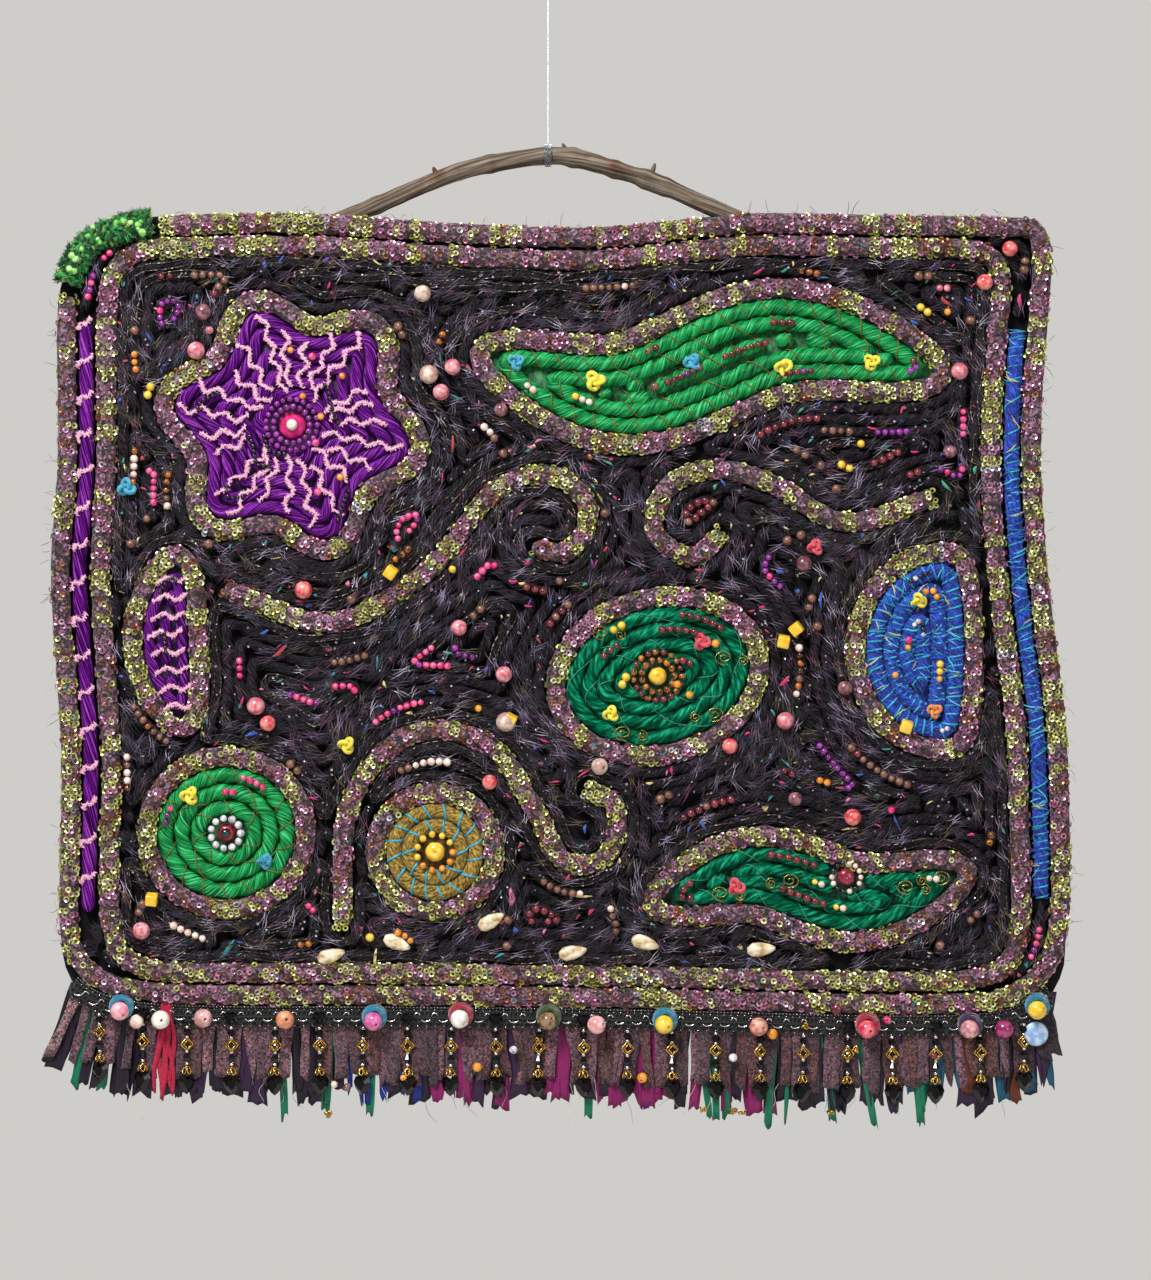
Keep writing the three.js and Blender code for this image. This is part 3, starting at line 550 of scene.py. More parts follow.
# x, z, radius, lobes, depth of the lobes, turn
FLOWER = (-163, -168, 74, 6, 0.13, 0.2)
FIGURES = {
    "flower": rosette(*FLOWER),
    "long_leaf": leaf([(-44, -122), (48, -148), (150, -114), (252, -136)], 36),
    "roundel": oval(-205, -428, 51, 49, 0),
    "medallion": oval(70, -328, 66, 50, 0.25),
    "low_leaf": leaf([(66, -474), (132, -455), (200, -472), (268, -452)], 27),
    "fan": fan_shape(252, -312, 56, 20, 63),
    "daisy": oval(-72, -440, 38, 38, 0),
    "side_leaf": leaf([(-236, -250), (-244, -305), (-232, -362)], 21),
}
FIGURES = {name: evenly(outline, True, 4) for name, outline in FIGURES.items()}


def stretch_of(points, start, end):
    """The part of a closed line from the point nearest one place to that nearest another."""
    first = int(np.argmin(np.hypot(*(points - start).T)))
    turned = np.roll(points, -first, 0)
    return turned[:int(np.argmin(np.hypot(*(turned - end).T))) + 1]


edge_curve = smooth(EDGE, True, 6)
outer_line = evenly(offset(edge_curve, True, BORDER_INSET), True, 4)
inner_line = evenly(smooth(INNER_BORDER, True, 6), True, 4)
scrolls = {name: evenly(smooth(points, False, 10), False, 4) for name, points in SCROLLS.items()}
side_curve = offset(edge_curve, True, SIDE_INSET)
side_lines = {
    name: evenly(stretch_of(side_curve, *((top, bottom) if top[0] < 0 else (bottom, top))), False, 3)
    for name, (top, bottom, _) in SIDE_CORDS.items()
}


def distance_field(ropes, belongs, low, high, passes):
    """Distance to the nearest rope on a square grid, a little smoothed, and nothing outside the region."""
    xs, zs = np.arange(low[0], high[0], FIELD_CELL), np.arange(low[1], high[1], FIELD_CELL)
    places = np.array(np.meshgrid(xs, zs)).reshape(2, -1).T
    inside = belongs(places)
    spots = places[inside]
    least = np.full(len(spots), np.inf)
    for line, closed in ropes:
        ends = np.vstack([line, line[:1]]) if closed else line
        for a, b in zip(ends[:-1], ends[1:]):
            way = b - a
            share = np.clip((spots - a) @ way / max(way @ way, 1e-9), 0, 1)
            least = np.minimum(least, np.hypot(*(spots - a - share[:, None] * way).T))
    field = np.zeros(len(places))
    field[inside] = least
    field = field.reshape(len(zs), len(xs))
    for _ in range(passes):
        beside = np.roll(field, 1, 0) + np.roll(field, -1, 0) + np.roll(field, 1, 1) + np.roll(field, -1, 1)
        field = np.where(field > 0, (4 * field + beside) / 8, 0)
    return field


def contours(field, level, low):
    """Closed lines on which a field has one level, found cell by cell and linked across cell edges."""
    above = field > level
    count = above[:-1, :-1].astype(int) + above[1:, :-1] + above[:-1, 1:] + above[1:, 1:]
    places, links = {}, {}
    for j, i in zip(*(found.tolist() for found in np.nonzero((count > 0) & (count < 4)))):
        ring = [(j, i), (j, i + 1), (j + 1, i + 1), (j + 1, i)]
        found = []
        for a, b in zip(ring, ring[1:] + ring[:1]):
            if above[a] != above[b]:
                a, b = min(a, b), max(a, b)
                share = (level - field[a]) / (field[b] - field[a])
                row, column = a[0] + share * (b[0] - a[0]), a[1] + share * (b[1] - a[1])
                places[a, b] = (low[0] + FIELD_CELL * column, low[1] + FIELD_CELL * row)
                found.append((a, b))
        for one, two in zip(found[::2], found[1::2]):
            links.setdefault(one, []).append(two)
            links.setdefault(two, []).append(one)
    seen, loops = set(), []
    for key in links:
        loop = []
        while key is not None and key not in seen:
            seen.add(key)
            loop.append(places[key])
            key = next((other for other in links[key] if other not in seen), None)
        if len(loop) > 5:
            loops.append(np.array(loop))
    return loops


def width_and_length(loop):
    """The mean width of a closed loop and the length of one of its two long sides."""
    turned = np.roll(loop, -1, 0)
    length = np.sum(np.hypot(*(turned - loop).T))
    return abs(np.sum(loop[:, 0] * turned[:, 1] - turned[:, 0] * loop[:, 1])) / length, length / 2


def folded(loop):
    """The middle line of a long narrow loop."""
    loop = np.roll(loop, -np.argmax(np.hypot(*(loop - loop.mean(axis=0)).T)), 0)
    end = int(np.argmax(np.hypot(*(loop - loop[0]).T)))
    halves = loop[:end + 1], np.vstack([loop[end:], loop[:1]])[::-1]
    share = np.linspace(0, 1, max(4, len(loop) // 2))
    return sum(
        np.column_stack([np.interp(share, np.linspace(0, 1, len(half)), column) for column in half.T])
        for half in halves
    ) / 2


def nested_rows(ropes, belongs, low, high, pitch, step, passes):
    """The rows of a region, from the ropes inwards: rings a pitch apart, and one run in the middle of
    each strip that is too narrow for a ring."""
    low, high = np.asarray(low, float), np.asarray(high, float)
    field = distance_field(ropes, belongs, low, high, passes)
    rows, level = [], ROPE_CLEAR
    while level < field.max():
        rings = contours(field, level + pitch / 2, low)
        for loop in contours(field, level, low):
            width, length = width_and_length(loop)
            holds_ring = any(within(ring[:1], loop)[0] for ring in rings)
            if not holds_ring and 0.16 * pitch < width < 1.6 * pitch and length > 1.6 * pitch:
                rows.append((evenly(folded(loop), False, step), False))
        for loop in rings:
            width, length = width_and_length(loop)
            if width > 0.55 * pitch:
                rows.append((evenly(loop, True, step), True))
            elif length > 1.6 * pitch:
                rows.append((evenly(folded(loop), False, step), False))
        level += pitch
    return rows


def short_ends(rows, ropes, belongs, low, high, pitch, rng):
    """Short ends of cord in the gaps that the rows leave, each along the nearest rope or across to it."""
    walls, taken = (np.vstack([line for line, _ in lines]) for lines in (ropes, rows))
    laid_before = KDTree(len(taken))
    for number, place in enumerate(taken):
        laid_before.insert((*place, 0), number)
    laid_before.balance()
    spots = rng.uniform(low, high, (int(np.prod(high - low) / 24), 2))
    found = []
    for spot in spots[belongs(spots)]:
        if laid_before.find((*spot, 0))[2] < 0.6 * pitch:
            continue
        to_wall = unit(walls[np.argmin(np.hypot(*(walls - spot).T))] - spot)
        longest = []
        for way in ((-to_wall[1], to_wall[0]), to_wall):
            piece = spot + np.linspace(-END_REACH, END_REACH, 9)[:, None] * way
            from_rope, from_row = (
                [np.hypot(*(line - place).T).min() for place in piece] for line in (walls, taken)
            )
            blocked = np.less(from_rope, ROPE_CLEAR + 0.14 * pitch) | np.less(from_row, 0.6 * pitch)
            stops = np.flatnonzero(blocked)
            piece = piece[max(stops[stops < 4], default=-1) + 1:min(stops[stops > 4], default=9)]
            if not blocked[4] and len(piece) > len(longest):
                longest = piece
        if len(longest) > 3:
            found.append((longest, False))
            taken = np.vstack([taken, longest])
    return found


def dark_ground(places):
    found = within(places, inner_line)
    for outline in FIGURES.values():
        found &= ~within(places, outline)
    return found


def border_ground(places):
    return within(places, outer_line) & ~within(places, inner_line)


# Plied wool and mohair: matt black, streaked along its twist with brown-black and dim aubergine.
plied_wool = finish(
    "plied_wool_and_mohair",
    [(0.4, "020202"), (0.48, "08070a"), (0.53, "151013"), (0.58, "2c222c"), (0.63, "50425a"),
     (0.69, "433726")],
    0.95, (210, 7, 7), along=True, relief=0.0014, detail=5.0, Specular_IOR_Level=0.2,
)
inner_ropes = [(inner_line, True)] + [(outline, True) for outline in FIGURES.values()]
inner_ropes += [(line, False) for line in scrolls.values()]
border_ropes = [(outer_line, True), (inner_line, True)] + [(line, False) for line in side_lines.values()]
dark_rows = []
for ropes, belongs in ((inner_ropes, dark_ground), (border_ropes, border_ground)):
    found = nested_rows(ropes, belongs, low, high, DARK_PITCH, 3.4, 6)
    dark_rows += found + short_ends(found, ropes, belongs, low, high, DARK_PITCH, rng)
dark_runs = [
    run(line, DARK_MIDDLE, closed, DARK_PITCH / 2 + OVERLAP, DARK_DEEP) for line, closed in dark_rows
]
dark_mesh = laid("dark_yarn_rows", dark_runs, 8, 2, 0.3, 0.021, 0.12, seed=8)
dark_yarn = placed("dark_yarn_rows", dark_mesh, plied_wool, "dark_yarn", "ground_rows")


# Loose fibres of the dark yarn: mohair brushed out across the rows in wisps, a khaki metal thread
# that winds along some of them, coloured slubs spun in, and tiny silver cups sewn between.
def spots_on(rows, count, rng):
    """Random places on rows: the place, the way the row runs there and the way to its left."""
    starts = np.vstack([line if closed else line[:-1] for line, closed in rows])
    ends = np.vstack([np.roll(line, -1, 0) if closed else line[1:] for line, closed in rows])
    lengths = np.hypot(*(ends - starts).T)
    picked = rng.choice(len(starts), count, p=lengths / lengths.sum())
    ahead = unit(ends - starts)[picked]
    places = starts[picked] + (ends - starts)[picked] * rng.random((count, 1))
    return places, ahead, to_left(ahead)


def wisp(hairs, segments, width, arch, rng):
    """Loose hairs side by side along x, about one unit long, arched and narrowed to their ends."""
    made = bmesh.new()
    for _ in range(hairs):
        start, aside, lean, bend = rng.normal(0, (0.12, 0.09, 0.16, 0.12))
        for vert in bmesh.ops.create_grid(made, x_segments=segments, y_segments=1, size=0.5)["verts"]:
            x, rim = vert.co.x, math.copysign(width / 2, vert.co.y) * (1 - abs(2 * vert.co.x) ** 3 * 0.8)
            vert.co = (x + start, rim + aside + lean * x + bend * 4 * x * x, arch * (1 - 4 * x * x))
    return as_mesh("wisp", made)


brushed_mohair = finish(
    "brushed_mohair",
    [(0, "0f0c11"), (0.12, "1a151d"), (0.3, "2b2231"), (0.46, "4c3f55"), (0.58, "6c5b78"), (0.66, "44465c"),
     (0.74, "6b4058"), (0.82, "8f819c"), (0.89, "6a5f48"), (0.95, "b9adc1")],
    0.85, by_lot=True, Sheen_Weight=0.15,
)
WISP_SPOTS = 14400
rng = np.random.default_rng(21)
tuft = wisp(4, 2, 0.035, 0.08, rng)
spots, ahead, left = spots_on(dark_rows, WISP_SPOTS, rng)
clumps = np.sin(spots[:, 0] * 0.047 + 2 * np.sin(spots[:, 1] * 0.031)) + np.cos(spots[:, 1] * 0.052)
chosen = rng.random(len(spots)) < np.clip(0.44 + 0.17 * clumps, 0.2, 1)
spots, ahead, left = spots[chosen], ahead[chosen], left[chosen]
count = len(spots)
aside = rng.uniform(-0.9, 0.9, (count, 1))
slant = rng.normal(0.55, 0.28, (count, 1)) * np.where(rng.random((count, 1)) < 0.12, -1, 1)
depths = DARK_MIDDLE + DARK_DEEP * np.sqrt(1 - 0.8 * aside[:, 0] ** 2)
wisp_sizes = np.column_stack([rng.uniform(7, 16, count), np.full(count, 8.5), np.full(count, 8)]) * MM
wisp_ways = lifted(ahead * np.cos(slant) + left * np.sin(slant), rng.normal(0, 0.07, count))
sewn(
    "mohair_wisps", brushed_mohair, "loose_fibres",
    tuft, lifted(spots + left * aside * DARK_PITCH / 2, depths) * MM,
    lifted(left * aside * 0.7, 1.0), wisp_ways, wisp_sizes, rng.random(count) ** 1.9,
)

# Khaki metal thread: a dotted dull-gold gleam, its dots drawn at 1.5 mm.
khaki_thread = finish(
    "khaki_metal_thread", [(0, "0d0b0a"), (0.45, "332e26"), (0.7, "676049"), (0.9, "b3aa8c")], 0.45,
    (700, 0.4, 0.4), along=True, cells=True, Metallic=0.4,
)
THREADED_SHARE, THREAD_HALF = 0.36, 0.38
thread_runs = []
for line, closed in dark_rows:
    if len(line) < 9 or rng.random() > THREADED_SHARE:
        continue
    phase = np.arange(len(line)) * 0.42 + rng.uniform(0, 6)
    for side in (-0.5, 0.6):
        path = offset(line, closed, (side + 0.35 * np.sin(phase)) * DARK_PITCH / 2)
        depth = DARK_MIDDLE + DARK_DEEP * (0.93 + 0.16 * np.sin(phase * 1.7 + side))
        thread_runs.append(run(path, depth, closed, THREAD_HALF))
placed("khaki_threads", laid("khaki_threads", thread_runs, 3, seed=9), khaki_thread, "metal_trim")

dyed_slub = finish(
    "dyed_wool_slub",
    [(0, "d8176a"), (0.24, "0f8c90"), (0.4, "1f57bf"), (0.55, "d9c77a"), (0.66, "b8303a"), (0.76, "2f9a78"),
     (0.86, "e0709c"), (0.94, "5b2d8f")],
    0.9, by_lot=True, relief=0.0005, Sheen_Weight=0.4,
)
slub = bmesh.new()
bmesh.ops.create_icosphere(slub, subdivisions=1, radius=1)
for vert in slub.verts:
    vert.co *= rng.uniform(0.7, 1.25)
SLUBS, DARK_TOP = 330, 9.0
spots, ahead, left = spots_on(dark_rows, SLUBS, rng)
slant = rng.normal(0.5, 0.6, (SLUBS, 1))
slub_places = lifted(spots + left * rng.uniform(-2.5, 2.5, (SLUBS, 1)), DARK_TOP) * MM
sewn(
    "coloured_slubs", dyed_slub, "loose_fibres",
    as_mesh("slub", slub), slub_places, (0, -1, 0.01),
    lifted(ahead * np.cos(slant) + left * np.sin(slant)),
    np.exp(rng.normal((0.85, -0.15, -0.35), 0.4, (SLUBS, 3))) * MM, rng.random(SLUBS),
)


# Sequin ropes: a stuffed tube of speckled metallic knit, 13 mm thick, covered in 4 mm ring sequins.
# They are couched round the border and the figures, and in three open scrolls.
ROPE_HALF, ROPE_DEEP, ROPE_MIDDLE = 6.3, 4.7, 7.1
TUFT_FROM, TUFT_TO = (-248, -38), (-308, -84)
SEQUIN_STEP = 3.4
TWIST_FROM, TWIST_FADE = -330, 120

# Speckled metallic knit: plum, mauve, rust and black yarns in 1.5 mm loops, with a dull metal gleam.
lurex_knit = finish(
    "speckled_metallic_knit",
    [(0, "120c12"), (0.2, "3b2530"), (0.36, "5e4152"), (0.5, "462a20"), (0.62, "7b5a6e"), (0.74, "2a1d2e"),
     (0.84, "94718a"), (0.93, "6f4a35")],
    0.7, (650, 650, 650), cells=True, relief=0.0007, Sheen_Weight=0.2, Metallic=0.1,
)
# Mirrored sequin film: bright at every rim, mostly lime gold or mauve pink, some copper and silver.
mirrored_film = finish(
    "mirrored_sequin_film",
    [(0, "a0a24e"), (0.14, "c3c66c"), (0.3, "dcdf9c"), (0.45, "a4627f"), (0.56, "c184a6"), (0.68, "d6a9c2"),
     (0.75, "7d4a34"), (0.83, "a0684a"), (0.9, "c6c1ca")],
    0.3, by_lot=True, Metallic=0.7,
)
SEQUIN_FRONT, SEQUIN_RADIUS = 0.3, 1.95
MIXED_SHARE, LEFT_SHARE, WORN_SHARE = 0.13, 0.22, 0.35
WORN_LEFT_OF, WORN_ABOVE = -290, -330
SEQUIN_LOTS = {"lime": (0.0, 0.44), "mauve": (0.45, 0.74), "copper": (0.75, 0.89), "silver": (0.9, 1.0)}
BUNCHES = [
    # kind, share of the bunches, least and most length along the rope
    ("lime", 0.34, 5, 11), ("mauve", 0.3, 4, 10), ("copper", 0.11, 3, 6), ("silver", 0.02, 3, 5),
    ("bare", 0.23, 3, 7),
]


def ring_shape(radius, hole, steps, sag):
    """A flat ring in the plane of x and y whose inner rim lies lower."""
    made = bmesh.new()
    bmesh.ops.create_circle(made, segments=steps, radius=radius)
    rim = bmesh.ops.extrude_edge_only(made, edges=made.edges[:])
    inner = [part for part in rim["geom"] if isinstance(part, bmesh.types.BMVert)]
    bmesh.ops.scale(made, vec=(hole, hole, 1), verts=inner)
    bmesh.ops.translate(made, vec=(0, 0, -sag), verts=inner)
    made.normal_update()
    if made.faces[:][0].normal.z < 0:
        bmesh.ops.reverse_faces(made, faces=made.faces)
    return as_mesh("ring", made)


def sequin_bed(line, closed, rng):
    """Places, fronts and lots of the sequins along one rope, in bunches of one colour."""
    fine = evenly(line, closed, SEQUIN_STEP)
    ahead = along_way(fine, closed)
    left = to_left(ahead)
    ends, kinds = [0.0], []
    while ends[-1] < len(fine) * SEQUIN_STEP + 40:
        kind, _, least, most = BUNCHES[rng.choice(len(BUNCHES), p=[share for _, share, _, _ in BUNCHES])]
        ends.append(ends[-1] + rng.uniform(least, most))
        kinds.append(kind)
    places, fronts, lots = [], [], []
    for i, (spot, side) in enumerate(zip(fine, left)):
        twist = np.clip((TWIST_FROM - spot[1]) / TWIST_FADE, 0, 1)
        worn = WORN_SHARE if spot[0] < WORN_LEFT_OF and spot[1] > WORN_ABOVE else 0
        for angle in ((24, 57, 90, 123, 156) if i % 2 else (40, 73, 107, 140)):
            angle = math.radians(angle + rng.normal(0, 4))
            across = math.cos(angle)
            kind = kinds[np.searchsorted(ends, i * SEQUIN_STEP + 12 + twist * across * ROPE_HALF * 1.2) - 1]
            if kind == "bare":
                kind = rng.choice(["lime", "mauve", "copper"]) if rng.random() < LEFT_SHARE else ""
            elif rng.random() < MIXED_SHARE:
                kind = rng.choice(["lime", "mauve", "mauve", "copper"])
            if not kind or rng.random() < worn + (0.1 if kind == "lime" else 0.3):
                continue
            flat = spot + side * across * (ROPE_HALF + SEQUIN_FRONT) + rng.normal(0, 0.35, 2)
            depth = ROPE_MIDDLE + (ROPE_DEEP + SEQUIN_FRONT) * math.sin(angle)
            places.append((flat[0], -depth, flat[1]))
            out = side * across / ROPE_HALF
            fronts.append((out[0], -math.sin(angle) / ROPE_DEEP, out[1]))
            lots.append(rng.uniform(*SEQUIN_LOTS[kind]))
    return np.array(places) * MM, unit(np.array(fronts)), np.array(lots)


sequin = ring_shape(SEQUIN_RADIUS, 0.48, 8, 0.5)
rope_lines = []


def sequin_rope(name, nodes, line, closed, seed):
    """One couched rope and the sequins sewn on it."""
    rng = np.random.default_rng(seed)
    rope_lines.append((line, closed))
    runs = [run(evenly(line, closed, 4), ROPE_MIDDLE, closed, ROPE_HALF, ROPE_DEEP)]
    mesh = laid(name + "_knit", runs, 12, 2, 0.12, 0.03, 0.07, seed=seed)
    placed(name + "_knit", mesh, lurex_knit, "sequin_rope", *nodes)
    places, fronts, lots = sequin_bed(line, closed, rng)
    fronts = fronts + rng.normal(0, 0.16, fronts.shape)
    sizes = rng.uniform(0.92, 1.08, len(places)) * MM
    sewn(
        name + "_sequins", mirrored_film, "ring_sequins",
        sequin, places, fronts, rng.normal(0, 1, fronts.shape), sizes, lots, smooth_faces=False,
    )


border_rope = stretch_of(outer_line, TUFT_TO, TUFT_FROM)
sequin_rope("border_rope_outer", ["border_rope_outer"], border_rope, False, 31)
sequin_rope("border_rope_inner", ["border_rope_inner"], inner_line, True, 32)
for number, (name, line) in enumerate(scrolls.items()):
    sequin_rope(name, [name], line, False, 40 + number)

# Silver cups: sequins a third of the size, scattered over the dark rows.
CUPS, CUP_DEPTH = 950, 9.5
spots, ahead, left = spots_on(dark_rows, CUPS, rng)
cup_fronts = np.column_stack([rng.normal(0, 0.45, CUPS), np.full(CUPS, -1.0), rng.normal(0.1, 0.45, CUPS)])
sewn(
    "silver_cups", mirrored_film, "ring_sequins",
    sequin, lifted(spots + left * rng.uniform(-3, 3, (CUPS, 1)), CUP_DEPTH) * MM, cup_fronts,
    rng.normal(0, 1, (CUPS, 3)), rng.uniform(0.22, 0.42, CUPS) * MM, rng.uniform(0.9, 1, CUPS),
    smooth_faces=False,
)


# Figures: a sequin rope round nested rows of cord. Rows are green rayon cord, teal silk, blue or ochre
# wool cord, or folded satin strip, each couched from the rope inwards.
DOMES = {
    # name: x, z, radius, height
    "flower_button": (-163, -168, 9, 6),
    "roundel_bead": (-205, -428, 6, 8),
    "medallion_bead": (70, -328, 6, 8),
    "daisy_bead": (-72, -440, 6.5, 8),
    "low_leaf_bead": (190, -456, 6, 7),
}
FIGURE_CORDS = {
    # name: pitch, half depth, middle depth, lay, plies, groove, slot
    "flower": (8.6, 3.8, 6.1, 0.05, 3, 0.2, "violet_satin"),
    "long_leaf": (10.4, 4.5, 6.8, 0.024, 2, 0.26, "green_cord"),
    "roundel": (10.4, 4.5, 6.8, 0.024, 2, 0.26, "green_cord"),
    "medallion": (9.6, 4.2, 6.7, 0.04, 2, 0.2, "teal_silk"),
    "low_leaf": (9.6, 4.2, 6.7, 0.04, 2, 0.2, "teal_silk"),
    "fan": (10.4, 4.5, 6.8, 0.05, 2, 0.08, "blue_wrapped_cord"),
    "daisy": (9.6, 4.2, 6.7, 0.05, 2, 0.08, "ochre_wrapped_cord"),
    "side_leaf": (7.4, 3.7, 6.2, 0.05, 3, 0.2, "violet_satin"),
}
# What the eye gets of each cord: rayon with soft streaks, creased silk, felted wool, napped wool, and
# satin with sharp folds. On rayon, silk and satin the palest shade is painted highlight on the raised
# streaks and folds, and the darkest is painted shade in the creases.
cord_finishes = {
    # Rayon: its palest shade is painted highlight and its darkest painted shade, set by the noise that
    # raises its relief.
    "green_cord": finish(
        "twisted_rayon_cord", [(0.34, "033519"), (0.46, "0a7136"), (0.56, "129548"), (0.68, "4cc582")],
        0.36, (90, 3.4, 3.4), along=True, relief=0.0012, Specular_Tint=linear("8fe8b0"),
    ),
    # Silk: its palest shade is painted highlight and its darkest painted shade, set by the noise that raises
    # its relief.
    "teal_silk": finish(
        "crushed_teal_silk", [(0.32, "00140d"), (0.45, "01402b"), (0.56, "04694a"), (0.68, "21a37a")],
        0.33, (130, 2, 2), along=True, relief=0.0014, Specular_Tint=linear("35b884"),
    ),
    "blue_wrapped_cord": finish(
        "felted_blue_wool", [(0.34, "030c40"), (0.46, "0a2788"), (0.56, "103cb8"), (0.68, "2a66e0")],
        0.75, (260, 4, 4), along=True, relief=0.0014, Sheen_Weight=0.08,
    ),
    "ochre_wrapped_cord": finish(
        "napped_ochre_wool", [(0.34, "3f2c0a"), (0.46, "7a5f1c"), (0.57, "a0812c"), (0.7, "c9a94e")],
        0.88, (420, 3, 3), along=True, relief=0.0016, Sheen_Weight=0.1,
    ),
    # Satin: its palest shade is painted highlight on the folds and its darkest painted shade in the creases,
    # set by the noise that raises its relief.
    "violet_satin": finish(
        "folded_violet_satin", [(0.34, "13001c"), (0.45, "3a0650"), (0.55, "62127f"), (0.66, "a04ab8")],
        0.26, (30, 4.2, 4.2), along=True, relief=0.0020, detail=2.0, Specular_Tint=linear("c05ae0"),
    ),
}


def cut_round(rows, spots, gap):
    """The rows without the parts that would run under a bead."""
    kept = []
    for line, closed in rows:
        clear = np.ones(len(line), bool)
        for x, z, radius in spots:
            clear &= np.hypot(line[:, 0] - x, line[:, 1] - z) > radius + gap
        if clear.all():
            kept.append((line, closed))
            continue
        first = int(np.argmin(clear)) if closed else 0
        line, clear = np.roll(line, -first, 0), np.roll(clear, -first)
        parts = np.flatnonzero(np.diff(clear.astype(int))) + 1
        for part, free in zip(np.split(line, parts), np.split(clear, parts)):
            if free[0] and len(part) > 5:
                kept.append((part, False))
    return kept


# Patches: a sheet cut to each figure and laid on the cloth under its cords, in darker shades of their
# colour. It is painted shade: it fills the gaps between the rows with the look of cord in shadow.
PATCH_DEPTH, PATCH_THICKNESS = 3.6, 0.6
GAP_SHADE_COLOURS = {
    # slot: darker and paler painted shade of the cord
    "violet_satin": ("1c0428", "4a1060"),
    "green_cord": ("04401d", "0f7a3a"),
    "teal_silk": ("012a1c", "04614a"),
    "blue_wrapped_cord": ("050f48", "123aa8"),
    "ochre_wrapped_cord": ("2a1d08", "6b5218"),
}
gap_shade_finishes = {
    slot_name: finish(
        slot_name + "_painted_gap_shade", [(0.4, ground), (0.6, paler_gap_shade)], 0.6, (420, 420, 260), relief=0.0006,
        Sheen_Weight=0.2,
    )
    for slot_name, (ground, paler_gap_shade) in GAP_SHADE_COLOURS.items()
}

FIGURE_MARGIN = 8
figure_rows = {}
for number, (name, outline) in enumerate(FIGURES.items()):
    pitch, deep, centre, lay, plies, groove, slot_name = FIGURE_CORDS[name]
    # The patch under the rows is painted shade of the cords, seen in the gaps between them.
    patch = bmesh.new()
    rim = bmesh.ops.create_circle(patch, cap_ends=True, segments=len(outline), radius=1)["verts"]
    for vert, place in zip(rim, lifted(outline, PATCH_DEPTH) * MM):
        vert.co = place
    patch_mesh = as_mesh(name + "_patch", patch)
    patch_piece = placed(name + "_patch", patch_mesh, gap_shade_finishes[slot_name], slot_name)
    thickened(patch_piece, PATCH_THICKNESS)
    sequin_rope(name + "_outline", [name + "_outline"], outline, True, 60 + number)
    low, high = outline.min(axis=0) - FIGURE_MARGIN, outline.max(axis=0) + FIGURE_MARGIN
    region = [(outline, True)], lambda places: within(places, outline), low, high
    rows = nested_rows(*region, pitch, 2.6, 3)
    rows += short_ends(rows, *region, pitch, rng)
    figure_rows[name] = cut_round(rows, [dome[:3] for dome in DOMES.values()], pitch * 0.42)
    runs = [run(line, centre, closed, pitch / 2 + OVERLAP, deep) for line, closed in figure_rows[name]]
    mesh = laid(name + "_cords", runs, 12, plies, groove, lay, 0.06, seed=80 + number)
    placed(name + "_cords", mesh, cord_finishes[slot_name], slot_name, name + "_rows")

# Threads wound round the cords: an olive and gold one lies across the green cord, a mint one across the
# silk, and a turquoise one holds the wool cords in open turns.
WINDINGS = [
    # name, figures, shades, one turn, radius
    ("olive_gold_thread", ("long_leaf", "roundel"), ("4a4216", "8f7f38"), 26, 0.4),
    ("turquoise_thread", ("fan", "daisy"), ("0f86b0", "4cc4de"), 6.2, 0.72),
    ("mint_thread", ("medallion", "low_leaf"), ("0f6b52", "4fae8e"), 34, 0.3),
]
winding_finishes = {}
for name, figures, shades, one_turn, radius in WINDINGS:
    winding_finishes[name] = finish(
        name, [(0.35, shades[0]), (0.65, shades[1])], 0.45, (500, 2, 2), along=True, relief=0.0004,
        Metallic=0.15,
    )
    runs = []
    for figure in figures:
        pitch, deep, centre, *_ = FIGURE_CORDS[figure]
        for line, closed in figure_rows[figure]:
            fine = evenly(line, closed, min(1.3, one_turn / 8))
            length = np.sum(np.hypot(*np.diff(fine, axis=0).T))
            share = 2 * np.pi * np.arange(len(fine)) / len(fine)
            turns = max(1, round(length / one_turn * rng.choice([0.6, 1, 1.7])))
            turn = share * turns + 0.8 * np.sin(share * (turns // 5))
            flat = offset(fine, closed, np.cos(turn) * (pitch / 2 + 0.1))
            runs.append(run(flat, centre + np.sin(turn) * (deep + 0.1), closed, radius))
    placed(name, laid(name, runs, 4, front=(0.05, -1, 0.02)), winding_finishes[name], "loose_fibres")


# Domes: the button and the beads let into the middle of figures, of felted wool, tinsel, resin or glass.
# Each is turned from a profile and stands on the cloth between the rows.
bead_finishes = {}


def polished(name, colour, pale, roughness=0.2):
    """Bead stuff clouded with paler veins, with a clear coat where it is polished."""
    if name not in bead_finishes:
        coat = 0.5 if roughness < 0.5 else 0
        bead_finishes[name] = finish(
            name, [(0.4, colour), (0.62, pale)], roughness, (230, 230, 230), relief=0.00005,
            Coat_Weight=coat, Coat_Roughness=0.1,
        )
    return bead_finishes[name]


def turned_shape(profile, steps):
    """A shape spun from a profile of radius and height about its own z."""
    made = bmesh.new()
    points = [made.verts.new((radius, 0, height)) for radius, height in profile]
    for a, b in zip(points[:-1], points[1:]):
        made.edges.new((a, b))
    bmesh.ops.spin(
        made, geom=made.verts[:] + made.edges[:], axis=(0, 0, 1), cent=(0, 0, 0), steps=steps,
        angle=2 * math.pi, use_merge=True,
    )
    bmesh.ops.remove_doubles(made, verts=made.verts, dist=1e-5)
    bmesh.ops.recalc_face_normals(made, faces=made.faces)
    return made


